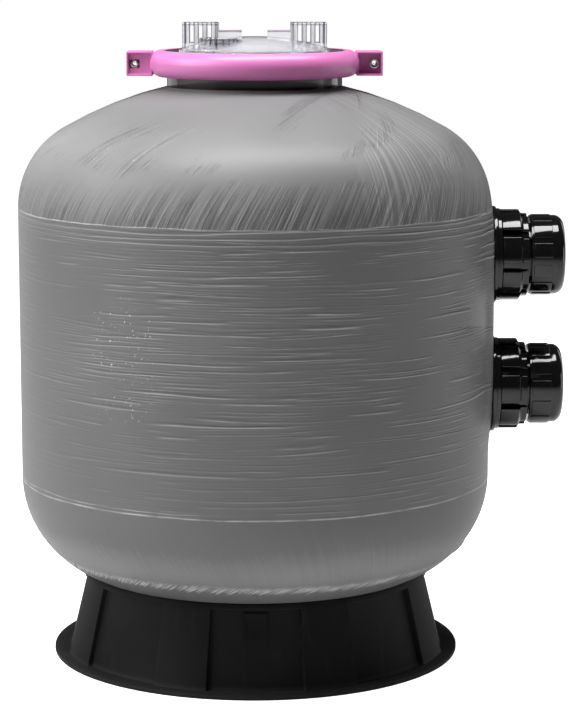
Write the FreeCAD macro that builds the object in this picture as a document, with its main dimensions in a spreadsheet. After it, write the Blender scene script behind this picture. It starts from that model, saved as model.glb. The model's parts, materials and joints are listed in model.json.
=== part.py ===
import FreeCAD, Part

import math
import os

import Sketcher

# A side-mount sand filter: a wound tank on a skirt stand, a clear lid held by a two-part clamp,
# two union ports on the side, a drain low on the shoulder, and the pipework inside the tank.
# Origin: centre of the stand's footprint, on the floor. +Z is up, -Y is the front, +X is the port side.

doc = FreeCAD.newDocument("pool_filter")
sheet = doc.addObject("Spreadsheet::Sheet", "sizes")

# Every driving size, in millimetres or degrees. Heights are above the floor.
DRIVING_SIZES = {
    # Clearances
    "gap": 0.3,
    "slip": 0.4,
    # Wound tank
    "tank_radius": 300,
    "tank_wall": 6,
    "low_seam_height": 231,
    "high_seam_height": 575,
    "shoulder_radius": 114,
    "crown_radius": 485,
    "belly_radius": 131,
    "bowl_radius": 490,
    "pad_margin": 2,
    "pad_proud": 1,
    "pad_thickness": 14,
    # Skirt stand
    "rim_inset": 9.67,
    "skirt_splay": 25,
    "stand_flange": 5.5,
    "flange_width": 15,
    "rim_width": 12,
    "rim_band": 8,
    "skirt_wall": 5,
    "skirt_relief": 6,
    "panel_count": 8,
    "panel_angle": 16.6,
    "lug_angle": 7,
    "lug_height": 33,
    "lug_drop": 13,
    "lug_proud": 2.5,
    # Neck, seal and lid
    "neck_radius": 110.5,
    "neck_wall": 12.5,
    "neck_depth": 16.2,
    "neck_collar": 10,
    "neck_rise": 28.76,
    "flange_overhang": 10,
    "flange_step": 3.5,
    "flange_edge": 7.5,
    "flange_slope": 5,
    "seal_margin": 8,
    "seal_section": 2.8,
    "spigot_depth": 8,
    "lid_wall": 6,
    "dome_rise": 17.7,
    "dome_margin": 2,
    "dome_radius": 300,
    "lid_step": 1.6,
    # Grips on the lid
    "grip_margin": 5,
    "grip_inner": 45,
    "grip_top": 51,
    "grip_depth": 30,
    "bar_inner": 16,
    "bar_top": 41,
    "bar_depth": 15,
    "slot_width": 5,
    "slot_pitch": 11,
    "slot_height": 21,
    "slot_margin": 4,
    # Clamp
    "clamp_half_height": 16,
    "clamp_bulge_radius": 17,
    "clamp_edge_inset": 2,
    "clamp_split": 4,
    "ear_overlap": 4,
    "ear_tip": 10,
    "ear_depth": 22,
    "ear_half_height": 15,
    "ear_wall": 3,
    "head_recess": 15,
    "nut_recess": 4,
    "nut_pocket": 7,
    "bolt_clearance": 26.7,
    # Screws, washers and nuts
    "screw_radius": 3,
    "screw_head_radius": 6,
    "screw_head_height": 4.2,
    "screw_length": 30,
    "washer_thickness": 1.6,
    "washer_radius": 6.5,
    "nut_flats": 10,
    "nut_thickness": 5,
    # Air relief
    "relief_x": -45,
    "relief_y": -41,
    "relief_well_radius": 27,
    "relief_floor": 18,
    "relief_boss_radius": 10,
    "relief_boss_height": 7,
    "relief_knob_radius": 24,
    "relief_knob_wall": 5,
    "relief_stem_radius": 3.5,
    "relief_stem_length": 15,
    "relief_flutes": 18,
    "flute_radius": 2,
    "relief_seal_thickness": 2.4,
    # Ports, measured outwards from the flat pad on the tank
    "port_drop": 63.5,
    "port_spacing": 166.5,
    "upper_nut_turn": -12,
    "lower_nut_turn": -2,
    "thread_radius": 40,
    "hole_clearance": 1,
    "inner_flange_width": 15,
    "inner_flange": 8,
    "gasket_thickness": 3,
    "fitting_reach": 65,
    "union_wall": 5,
    "union_bore_depth": 14.3,
    "union_seal_section": 1.3,
    "ring_width": 22,
    "ring_step": 3,
    "ring_thickness": 11,
    "lock_nut_length": 34,
    "lobe_length": 25,
    "lock_nut_wall": 10,
    "lobe_height": 8,
    "lobe_end_height": 3,
    "lobe_count": 8,
    "lobe_angle": 34,
    "union_nut_offset": 48.5,
    "union_nut_length": 43,
    "union_nut_wall": 10.4,
    "union_nut_round": 12,
    "grip_rise": 1.2,
    "grip_length": 24,
    "grip_angle": 21,
    "grip_count": 12,
    "collar_thickness": 6,
    "socket_depth": 38,
    "tail_wall": 3,
    # Pipework inside the tank
    "pipe_radius": 30,
    "pipe_wall": 3,
    "socket_wall": 5,
    "pipe_insert": 22,
    "elbow_arm": 72,
    "diffuser_drop": 107,
    "diffuser_radius": 48,
    "diffuser_cage": 34,
    "diffuser_wall": 3,
    "diffuser_slots": 16,
    "diffuser_slot_width": 6,
    "diffuser_slot_height": 22,
    "lateral_lift": 68.27,
    "lateral_count": 8,
    "lateral_radius": 10,
    "lateral_wall": 2,
    "lateral_margin": 18.8,
    "lateral_slots": 8,
    "lateral_slot_width": 2,
    "lateral_slot_pitch": 15,
    "hub_radius": 46,
    "hub_half_height": 22,
    "hub_wall": 6,
    "hub_socket_height": 18,
    "hub_boss_reach": 56,
    "foot_radius": 24,
    # Drain, measured outwards along its own axis
    "drain_azimuth": 18,
    "drain_fall": 48,
    "drain_boss_margin": 3.5,
    "drain_boss_inset": 4,
    "drain_clearance": 0.5,
    "drain_thread_radius": 16.5,
    "drain_bore": 10,
    "drain_flange_width": 16,
    "drain_flange": 4,
    "drain_spigot_step": 2.5,
    "drain_spigot": 13,
    "drain_tail": 26,
    "drain_nut_length": 9,
    "drain_nut_flats": 46,
    "drain_cap_wall": 6.5,
    "drain_cap_top": 7,
    "drain_cap_bevel": 3,
    "drain_flutes": 14,
    "drain_seal_thickness": 2,
    "strainer_step": 2.5,
    "strainer_length": 34,
    "strainer_insert": 8,
    "strainer_slots": 8,
    "strainer_slot_width": 3,
}


class Size:
    """A size as a number, together with the spreadsheet expression that gives it."""

    def __init__(self, number, words):
        self.number = float(number)
        self.words = words

    def __add__(self, other):
        other = as_size(other)
        return Size(self.number + other.number, f"({self.words} + {other.words})")

    def __sub__(self, other):
        other = as_size(other)
        return Size(self.number - other.number, f"({self.words} - {other.words})")

    def __mul__(self, other):
        other = as_size(other)
        return Size(self.number * other.number, f"({self.words} * {other.words})")

    def __truediv__(self, other):
        other = as_size(other)
        return Size(self.number / other.number, f"({self.words} / {other.words})")

    def __neg__(self):
        return Size(-self.number, f"(0 - {self.words})")


def as_size(value):
    """Turn a plain number into a size that needs no cell."""
    if isinstance(value, Size):
        return value
    return Size(value, repr(value))


def cosine(angle):
    return Size(math.cos(math.radians(angle.number)), f"cos({angle.words})")


def sine(angle):
    return Size(math.sin(math.radians(angle.number)), f"sin({angle.words})")


def leg(hypotenuse, other_leg):
    """The third side of a right-angled triangle."""
    square = hypotenuse * hypotenuse - other_leg * other_leg
    return Size(math.sqrt(square.number), f"sqrt({square.words})")


class Sizes:
    """The sheet's cells by name, each one a Size."""

    def add(self, alias, content):
        """Give a size a row of the sheet. It is a number, or the words of a formula."""
        row = len(vars(self)) + 1
        sheet.set(f"A{row}", alias.replace("_", " "))
        sheet.set(f"B{row}", content)
        sheet.setAlias(f"B{row}", alias)
        doc.recompute()
        setattr(self, alias, Size(sheet.get(alias), f"sizes.{alias}"))

    def work_out(self, alias, value):
        """Give a size that follows from others a row of its own."""
        self.add(alias, "=" + value.words.replace("sizes.", ""))


size = Sizes()
for name, number in DRIVING_SIZES.items():
    size.add(name, str(number))

ZERO = as_size(0)
FULL_TURN = as_size(360)
NO_TURN = FreeCAD.Rotation()
parts = []


def new_body(label):
    """Start one sub-part of the filter."""
    body = doc.addObject("PartDesign::Body", label)
    body.Label = label
    parts.append(body)
    return body


def new_sketch(body, plane, offset=(ZERO, ZERO, ZERO), turned=NO_TURN):
    """A sketch on one of the body's own planes, moved by offset in the sketch's own directions."""
    sketch = body.newObject("Sketcher::SketchObject", f"{body.Name}_sketch")
    origin_plane = [item for item in body.Origin.OriginFeatures if item.Role == plane][0]
    sketch.AttachmentSupport = [(origin_plane, "")]
    sketch.MapMode = "FlatFace"
    sketch.AttachmentOffset = FreeCAD.Placement(
        FreeCAD.Vector(*[step.number for step in offset]), turned)
    for name, step in zip("xyz", offset):
        if step is not ZERO:
            sketch.setExpression(f"AttachmentOffset.Base.{name}", step.words)
    return sketch


def hold_point(sketch, edge, point, across, up):
    """Tie a point of a sketch to the sketch's origin."""
    for kind, axis, distance in (("DistanceX", -2, across), ("DistanceY", -1, up)):
        if distance is ZERO:
            sketch.addConstraint(Sketcher.Constraint("PointOnObject", edge, point, axis))
        else:
            held = sketch.addConstraint(Sketcher.Constraint(kind, -1, 1, edge, point, distance.number))
            sketch.setExpression(f"Constraints[{held}]", distance.words)


def hold_radius(sketch, edge, radius):
    """Tie the radius of an arc or a circle to the sheet."""
    held = sketch.addConstraint(Sketcher.Constraint("Radius", edge, radius.number))
    sketch.setExpression(f"Constraints[{held}]", radius.words)


def draw_outline(sketch, corners):
    """Close an outline through its corners.

    A corner is (across, up) after a straight run, or (across, up, radius, turn) after an arc,
    where turn is 1 for an arc that runs anticlockwise and -1 for one that runs clockwise.
    """
    first_edge = sketch.GeometryCount
    ends = []
    for index, corner in enumerate(corners):
        before = corners[index - 1]
        start = FreeCAD.Vector(before[0].number, before[1].number, 0)
        end = FreeCAD.Vector(corner[0].number, corner[1].number, 0)
        if len(corner) == 2:
            sketch.addGeometry(Part.LineSegment(start, end), False)
            ends.append((1, 2))
            continue
        radius, turn = corner[2].number, corner[3]
        chord = end - start
        drop = math.sqrt(radius * radius - chord.Length * chord.Length / 4)
        centre = (start + end) * 0.5 + FreeCAD.Vector(-chord.y, chord.x, 0).normalize() * drop * turn
        angles = [math.atan2(point.y - centre.y, point.x - centre.x) for point in (start, end)]
        if turn < 0:
            angles.reverse()
        circle = Part.Circle(centre, FreeCAD.Vector(0, 0, 1), radius)
        sketch.addGeometry(Part.ArcOfCircle(circle, *angles), False)
        ends.append((1, 2) if turn > 0 else (2, 1))
    for index, corner in enumerate(corners):
        edge = first_edge + index
        following = (index + 1) % len(corners)
        sketch.addConstraint(Sketcher.Constraint(
            "Coincident", edge, ends[index][1], first_edge + following, ends[following][0]))
        hold_point(sketch, edge, ends[index][1], corner[0], corner[1])
        if len(corner) > 2:
            hold_radius(sketch, edge, corner[2])


def draw_circle(sketch, across, up, radius):
    """A circle whose centre and radius follow the sheet."""
    centre = FreeCAD.Vector(across.number, up.number, 0)
    edge = sketch.addGeometry(Part.Circle(centre, FreeCAD.Vector(0, 0, 1), radius.number), False)
    hold_point(sketch, edge, 3, across, up)
    hold_radius(sketch, edge, radius)


def box_corners(left, low, right, high):
    return [(left, low), (right, low), (right, high), (left, high)]


def hexagon_corners(flats):
    """Six corners of a nut, with two of its flats level."""
    half = flats / 2
    corner = flats / math.sqrt(3)
    return [
        (corner, ZERO), (corner / 2, half), (-(corner / 2), half),
        (-corner, ZERO), (-(corner / 2), -half), (corner / 2, -half),
    ]


def turn_sketch(body, sketch, kind="Revolution", angle=FULL_TURN, axis="V_Axis", middle=True):
    """Turn a sketch about one of its own axes, to add to the body or to cut it."""
    doc.recompute()
    feature = body.newObject(f"PartDesign::{kind}", f"{body.Name}_{kind}")
    feature.Profile = sketch
    feature.ReferenceAxis = (sketch, [axis])
    feature.Midplane = middle and angle is not FULL_TURN
    feature.Angle = angle.number
    feature.setExpression("Angle", angle.words)
    body.Tip = feature
    doc.recompute()
    return feature


def turn_profile(body, corners, kind="Revolution", angle=FULL_TURN, turned=NO_TURN):
    """Turn an outline of (radius, height) corners about the body's upright axis."""
    sketch = new_sketch(body, "XZ_Plane", turned=turned)
    draw_outline(sketch, corners)
    return turn_sketch(body, sketch, kind, angle)


def extrude(body, sketch, length, kind="Pad", both_ways=False, backwards=False):
    """Pad or pocket a sketch by a length."""
    doc.recompute()
    feature = body.newObject(f"PartDesign::{kind}", f"{body.Name}_{kind}")
    feature.Profile = sketch
    feature.SideType = "Symmetric" if both_ways else "One side"
    feature.Reversed = backwards
    feature.Length = length.number
    feature.setExpression("Length", length.words)
    body.Tip = feature
    doc.recompute()
    return feature


def bore(body, sketch, length):
    """Cut a sketch out along its own normal."""
    return extrude(body, sketch, length, "Pocket", backwards=True)


def repeat_round(body, feature, count):
    """Repeat a feature evenly about the body's upright axis."""
    pattern = body.newObject("PartDesign::PolarPattern", f"{body.Name}_ring")
    axis = [item for item in body.Origin.OriginFeatures if item.Role == "Z_Axis"][0]
    pattern.Originals = [feature]
    pattern.Axis = (axis, [""])
    pattern.Angle = 360
    pattern.Occurrences = int(count.number)
    pattern.setExpression("Occurrences", count.words)
    body.Tip = pattern
    doc.recompute()
    return pattern


def place(body, across, depth, height, rotation=NO_TURN):
    """Put a finished sub-part where it belongs."""
    where = (across, depth, height)
    body.Placement = FreeCAD.Placement(
        FreeCAD.Vector(*[value.number for value in where]), rotation)
    for name, value in zip("xyz", where):
        if value is not ZERO:
            body.setExpression(f"Placement.Base.{name}", value.words)
    doc.recompute()
    return body


def ring(label, inner, outer, low, high):
    """A plain ring or tube about the upright axis."""
    body = new_body(label)
    turn_profile(body, box_corners(inner, low, outer, high))
    return body


def square_seal(label, ring_radius, half_section, top):
    """A seal ring with a square section."""
    return ring(label, ring_radius - half_section, ring_radius + half_section, top - half_section * 2, top)


def flute(body, radius, low, length, count):
    """Cut finger flutes down the outside of a knob."""
    sketch = new_sketch(body, "XY_Plane", (ZERO, ZERO, low))
    draw_circle(sketch, radius + size.flute_radius / 2, ZERO, size.flute_radius)
    repeat_round(body, bore(body, sketch, length), count)


# Turns that lay a body's upright axis along another direction
TO_RIGHT = FreeCAD.Rotation(FreeCAD.Vector(0, 1, 0), 90)
TO_FRONT = FreeCAD.Rotation(FreeCAD.Vector(1, 0, 0), 90)
TO_BACK = FreeCAD.Rotation(FreeCAD.Vector(1, 0, 0), -90)
HALF_TURN = FreeCAD.Rotation(FreeCAD.Vector(0, 0, 1), 180)
UPSIDE_DOWN = FreeCAD.Rotation(FreeCAD.Vector(1, 0, 0), 180)

# Centres of the tank's arcs, each as (radius from the axis, height). Each end is a knuckle that
# runs smoothly into a crown, whose centre is on the axis.
shoulder_centre = (size.tank_radius - size.shoulder_radius, size.high_seam_height)
belly_centre = (size.tank_radius - size.belly_radius, size.low_seam_height)
crown_centre = size.high_seam_height - leg(size.crown_radius - size.shoulder_radius, shoulder_centre[0])
bowl_centre = size.low_seam_height + leg(size.bowl_radius - size.belly_radius, belly_centre[0])


def crown_height(radius, inset=ZERO):
    """Height of the tank's upper surface at a radius, inset into the wall."""
    return crown_centre + leg(size.crown_radius - inset, radius)


def bowl_height(radius, inset=ZERO):
    """Height of the tank's lower surface at a radius, inset into the wall."""
    return bowl_centre - leg(size.bowl_radius - inset, radius)


def shoulder_end(inset):
    """Where the upper knuckle meets the crown, inset into the wall."""
    share = (size.crown_radius - inset) / (size.crown_radius - size.shoulder_radius)
    return shoulder_centre[0] * share, crown_centre + (shoulder_centre[1] - crown_centre) * share


def belly_end(inset):
    """Where the lower knuckle meets the bowl, inset into the wall."""
    share = (size.bowl_radius - inset) / (size.bowl_radius - size.belly_radius)
    return belly_centre[0] * share, bowl_centre + (belly_centre[1] - bowl_centre) * share


# Sizes that follow from others: the closure at the top of the neck
size.work_out("closure_height", crown_height(size.neck_radius) + size.neck_rise)
size.work_out("neck_root", crown_height(size.neck_radius) - size.neck_depth)
size.work_out("neck_bore", size.neck_radius - size.neck_wall)
size.work_out("flange_land", size.neck_radius + size.flange_step)
size.work_out("flange_radius", size.flange_land + size.flange_overhang)
size.work_out("seal_ring_radius", size.neck_bore + size.seal_margin)
size.work_out("dome_edge", size.neck_bore - size.dome_margin)
size.work_out("grip_outer", size.dome_edge - size.grip_margin)
size.work_out("clamp_edge_radius", size.flange_radius - size.clamp_edge_inset)
size.work_out("ear_root", size.flange_radius + size.ear_overlap)
size.work_out("bolt_offset", size.flange_radius + size.bolt_clearance)
size.work_out("ear_reach", size.bolt_offset + size.ear_tip)

# The stand under the bowl
size.work_out("rim_radius", belly_end(ZERO)[0] - size.rim_inset)
size.work_out("skirt_foot_radius", size.rim_radius + size.skirt_splay)
size.work_out("stand_radius", size.skirt_foot_radius + size.flange_width)

# The ports, from their thread
size.work_out("upper_port_height", size.high_seam_height - size.port_drop)
size.work_out("lower_port_height", size.upper_port_height - size.port_spacing)
size.work_out("wall_hole_radius", size.thread_radius + size.hole_clearance)
size.work_out("inner_flange_radius", size.thread_radius + size.inner_flange_width)
size.work_out("ring_radius", size.thread_radius + size.ring_width)
size.work_out("ring_step_radius", size.ring_radius - size.ring_step)
size.work_out("pad_half_width", size.ring_radius + size.pad_margin)
size.work_out("lobe_floor_radius", size.thread_radius + size.lock_nut_wall)
size.work_out("lobe_radius", size.lobe_floor_radius + size.lobe_height)
size.work_out("lobe_end_radius", size.lobe_floor_radius + size.lobe_end_height)
size.work_out("union_nut_radius", size.thread_radius + size.union_nut_wall)
size.work_out("union_bore", size.thread_radius - size.union_wall)
size.work_out("union_seal_radius", size.thread_radius - size.union_wall / 2)
size.work_out("collar_radius", size.thread_radius - size.slip)
size.work_out("tail_radius", size.union_bore - size.slip)
size.work_out("socket_radius", size.tail_radius - size.tail_wall)

# The pipework
size.work_out("pipe_bore", size.pipe_radius - size.pipe_wall)
size.work_out("diffuser_height", crown_height(ZERO) - size.diffuser_drop)
size.work_out("lateral_height", bowl_height(ZERO) + size.lateral_lift)
lateral_low = size.lateral_height - size.lateral_radius
floor_radius = leg(size.bowl_radius - size.tank_wall, bowl_centre - lateral_low)
size.work_out("lateral_reach", floor_radius - size.lateral_margin)

# The drain, from its thread
size.work_out("drain_hole_radius", size.drain_thread_radius + size.drain_clearance)
size.work_out("drain_flange_radius", size.drain_thread_radius + size.drain_flange_width)
size.work_out("drain_boss_radius", size.drain_flange_radius + size.drain_boss_margin)
size.work_out("drain_spigot_radius", size.drain_thread_radius + size.drain_spigot_step)
size.work_out("drain_cap_radius", size.drain_spigot_radius + size.drain_cap_wall)
size.work_out("strainer_radius", size.drain_thread_radius - size.strainer_step)

# The flat pads that the ports and the drain sit on
pad_face = size.tank_radius + size.pad_proud
pad_back = pad_face - size.pad_thickness
drain_face = size.belly_radius + size.pad_proud
drain_back = size.belly_radius - size.tank_wall - size.drain_boss_inset
drain_turn = FreeCAD.Rotation(FreeCAD.Vector(0, 0, 1), size.drain_azimuth.number).multiply(
    FreeCAD.Rotation(FreeCAD.Vector(0, 1, 0), 90 + size.drain_fall.number))


def along_drain(distance):
    """A point on the drain's axis, at a distance from the centre of the lower knuckle."""
    level = belly_centre[0] + distance * cosine(size.drain_fall)
    return (level * cosine(size.drain_azimuth), level * sine(size.drain_azimuth),
            belly_centre[1] - distance * sine(size.drain_fall))


def make_tank_shell():
    """Wound resin shell, with flat pads where the ports and the drain go through it."""
    body = new_body("tank_shell")
    neck_hole = size.neck_radius + size.gap
    inside_radius = size.tank_radius - size.tank_wall
    turn_profile(body, [
        (ZERO, bowl_height(ZERO)),
        (*belly_end(ZERO), size.bowl_radius, 1),
        (size.tank_radius, size.low_seam_height, size.belly_radius, 1),
        (size.tank_radius, size.high_seam_height),
        (*shoulder_end(ZERO), size.shoulder_radius, 1),
        (neck_hole, crown_height(neck_hole), size.crown_radius, 1),
        (neck_hole, crown_height(neck_hole, size.tank_wall)),
        (*shoulder_end(size.tank_wall), size.crown_radius - size.tank_wall, -1),
        (inside_radius, size.high_seam_height, size.shoulder_radius - size.tank_wall, -1),
        (inside_radius, size.low_seam_height),
        (*belly_end(size.tank_wall), size.belly_radius - size.tank_wall, -1),
        (ZERO, bowl_height(ZERO, size.tank_wall), size.bowl_radius - size.tank_wall, -1),
    ])
    half = size.pad_half_width
    port_heights = (size.upper_port_height, size.lower_port_height)
    pad = new_sketch(body, "YZ_Plane", (ZERO, ZERO, pad_back))
    draw_outline(pad, box_corners(-half, size.lower_port_height, half, size.upper_port_height))
    extrude(body, pad, size.pad_thickness)
    for height in port_heights:
        round_end = new_sketch(body, "YZ_Plane", (ZERO, ZERO, pad_back))
        draw_circle(round_end, ZERO, height, half)
        extrude(body, round_end, size.pad_thickness)
        hole = new_sketch(body, "YZ_Plane", (ZERO, ZERO, pad_back - size.gap))
        draw_circle(hole, ZERO, height, size.wall_hole_radius)
        bore(body, hole, size.pad_thickness + size.gap * 2)
    boss = new_sketch(body, "XY_Plane", along_drain(drain_back), drain_turn)
    draw_circle(boss, ZERO, ZERO, size.drain_boss_radius)
    extrude(body, boss, drain_face - drain_back)
    hole = new_sketch(body, "XY_Plane", along_drain(drain_back - size.pad_proud), drain_turn)
    draw_circle(hole, ZERO, ZERO, size.drain_hole_radius)
    bore(body, hole, drain_face - drain_back + size.pad_proud * 2)


def make_base_stand():
    """Moulded skirt that the tank stands in: raised panels round it, a rim seat and a floor flange."""
    body = new_body("base_stand")
    rim_inner = size.rim_radius - size.rim_width
    rim_height = bowl_height(size.rim_radius, -size.gap)
    seat_height = bowl_height(rim_inner, -size.gap)
    lean = (size.skirt_foot_radius - size.rim_radius) / (rim_height - size.stand_flange)
    thick = size.skirt_wall + size.skirt_relief
    lip = seat_height - size.skirt_wall

    def skirt(height, inset=ZERO):
        """Radius of the leaning wall at a height, inset into it."""
        return size.rim_radius + (rim_height - height) * lean - inset

    turn_profile(body, [
        (skirt(ZERO, thick), ZERO),
        (size.stand_radius, ZERO),
        (size.stand_radius, size.stand_flange),
        (size.skirt_foot_radius, size.stand_flange),
        (size.rim_radius, rim_height),
        (rim_inner, seat_height, size.bowl_radius + size.gap, -1),
        (rim_inner, lip),
        (skirt(lip, thick), lip),
    ])
    foot = size.stand_flange
    shelf = rim_height - size.rim_band
    pitch = FULL_TURN / size.panel_count
    recess = turn_profile(body, [
        (skirt(foot, size.skirt_relief), foot),
        (skirt(foot, -size.skirt_relief), foot),
        (skirt(shelf, -size.skirt_relief), shelf),
        (skirt(shelf, size.skirt_relief), shelf),
    ], "Groove", pitch - size.panel_angle)
    repeat_round(body, recess, size.panel_count)
    ceiling = lip - size.skirt_wall
    half_pitch = FreeCAD.Rotation(FreeCAD.Vector(0, 1, 0), pitch.number / 2)
    hollow = turn_profile(body, [
        (skirt(ZERO, thick + size.skirt_relief), ZERO),
        (skirt(ZERO, size.skirt_wall), ZERO),
        (skirt(ceiling, size.skirt_wall), ceiling),
        (skirt(ceiling, thick + size.skirt_relief), ceiling),
    ], "Groove", size.panel_angle - size.skirt_wall / 2, half_pitch)
    repeat_round(body, hollow, size.panel_count)
    lug_high = rim_height - size.lug_drop
    lug_low = lug_high - size.lug_height
    to_front = FreeCAD.Rotation(FreeCAD.Vector(0, 1, 0), 90)
    turn_profile(body, [
        (-skirt(lug_low, size.skirt_relief - size.lug_proud), lug_low),
        (-skirt(lug_low, size.skirt_relief + size.lug_proud), lug_low),
        (-skirt(lug_high, size.skirt_relief + size.lug_proud), lug_high),
        (-skirt(lug_high, size.skirt_relief - size.lug_proud), lug_high),
    ], "Revolution", size.lug_angle, to_front)


def flange_rise(radius):
    """How far the sloped faces of the clamp flanges fall back at a radius."""
    return (size.flange_radius - radius) * size.flange_slope / (size.flange_radius - size.flange_land)


def make_neck_ring():
    """Neck moulded into the top of the tank, with the lower half of the clamp flange."""
    body = new_body("neck_ring")
    inset = size.tank_wall + size.gap
    collar = size.neck_radius + size.neck_collar
    slope_end = size.closure_height - size.flange_edge
    groove_half = size.seal_section + size.slip
    groove_floor = size.closure_height - size.seal_section * 2
    turn_profile(body, [
        (size.neck_bore, size.neck_root),
        (collar, size.neck_root),
        (collar, crown_height(collar, inset)),
        (size.neck_radius, crown_height(size.neck_radius, inset), size.crown_radius - inset, 1),
        (size.neck_radius, slope_end - size.flange_slope),
        (size.flange_land, slope_end - size.flange_slope),
        (size.flange_radius, slope_end),
        (size.flange_radius, size.closure_height),
        (size.seal_ring_radius + groove_half, size.closure_height),
        (size.seal_ring_radius + groove_half, groove_floor),
        (size.seal_ring_radius - groove_half, groove_floor),
        (size.seal_ring_radius - groove_half, size.closure_height),
        (size.neck_bore, size.closure_height),
    ])


def dome_height(radius, inset=ZERO):
    """Height of the lid's dome at a radius, inset into its wall."""
    edge = size.closure_height + size.dome_rise
    return edge - leg(size.dome_radius, size.dome_edge) + leg(size.dome_radius - inset, radius)


def make_lid():
    """Clear domed lid: clamp flange, spigot, two grips and a well for the air relief."""
    body = new_body("lid")
    face = size.closure_height + size.gap
    spigot = size.neck_bore - size.slip
    inside = spigot - size.lid_wall
    rim_top = dome_height(size.dome_edge) - size.lid_step
    slope_end = face + size.flange_edge
    crest = dome_height(ZERO)
    turn_profile(body, [
        (ZERO, crest - size.lid_wall),
        (inside, dome_height(inside, size.lid_wall), size.dome_radius - size.lid_wall, -1),
        (inside, face - size.spigot_depth),
        (spigot, face - size.spigot_depth),
        (spigot, face),
        (size.flange_radius, face),
        (size.flange_radius, slope_end),
        (size.flange_land, slope_end + size.flange_slope),
        (size.flange_land, rim_top - size.lid_step),
        (size.flange_land - size.lid_step, rim_top),
        (size.dome_edge, rim_top),
        (size.dome_edge, dome_height(size.dome_edge)),
        (ZERO, crest, size.dome_radius, 1),
    ])
    floor = size.closure_height + size.relief_floor
    above = size.closure_height + size.grip_top
    well = new_sketch(body, "XY_Plane", (ZERO, ZERO, floor - size.lid_wall))
    draw_circle(well, size.relief_x, size.relief_y, size.relief_well_radius + size.lid_wall / 2)
    extrude(body, well, above - floor)
    turn_profile(body, [
        (ZERO, crest),
        (size.dome_edge, dome_height(size.dome_edge), size.dome_radius, -1),
        (size.dome_edge, above),
        (ZERO, above),
    ], "Groove")
    well_cut = new_sketch(body, "XY_Plane", (ZERO, ZERO, floor))
    draw_circle(well_cut, size.relief_x, size.relief_y, size.relief_well_radius)
    bore(body, well_cut, above - floor)
    boss = new_sketch(body, "XY_Plane", (ZERO, ZERO, floor - size.lid_wall / 2))
    draw_circle(boss, size.relief_x, size.relief_y, size.relief_boss_radius)
    extrude(body, boss, size.relief_boss_height + size.lid_wall / 2)
    vent = new_sketch(body, "XY_Plane", (ZERO, ZERO, floor - size.lid_wall * 2))
    draw_circle(vent, size.relief_x, size.relief_y, size.relief_stem_radius + size.gap)
    bore(body, vent, size.lid_wall * 3 + size.relief_boss_height)
    for side in (1, -1):
        add_grip(body, side)


def add_grip(body, side):
    """One upright grip with three slots, and the lower bar that runs from it towards the middle."""
    root = size.lid_wall / 2
    arc = size.dome_radius - root
    steps = ((size.bar_inner, size.bar_top, size.bar_depth), (size.grip_inner, size.grip_top, size.grip_depth))
    for inner, top, depth in steps:
        near, far = inner * side, size.grip_outer * side
        high = size.closure_height + top
        left, right = (near, far) if side > 0 else (far, near)
        sketch = new_sketch(body, "XZ_Plane")
        draw_outline(sketch, [
            (left, dome_height(left, root)),
            (right, dome_height(right, root), arc, -1),
            (right, high),
            (left, high),
        ])
        extrude(body, sketch, depth, both_ways=True)
    middle = (size.grip_inner + size.grip_outer) / 2 * side
    slot_top = size.closure_height + size.grip_top - size.slot_margin
    slots = new_sketch(body, "XZ_Plane")
    for step in (-1, 0, 1):
        centre = middle + size.slot_pitch * step
        draw_outline(slots, box_corners(
            centre - size.slot_width / 2, slot_top - size.slot_height,
            centre + size.slot_width / 2, slot_top))
    extrude(body, slots, size.grip_depth + size.lid_wall, "Pocket", both_ways=True)


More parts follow.
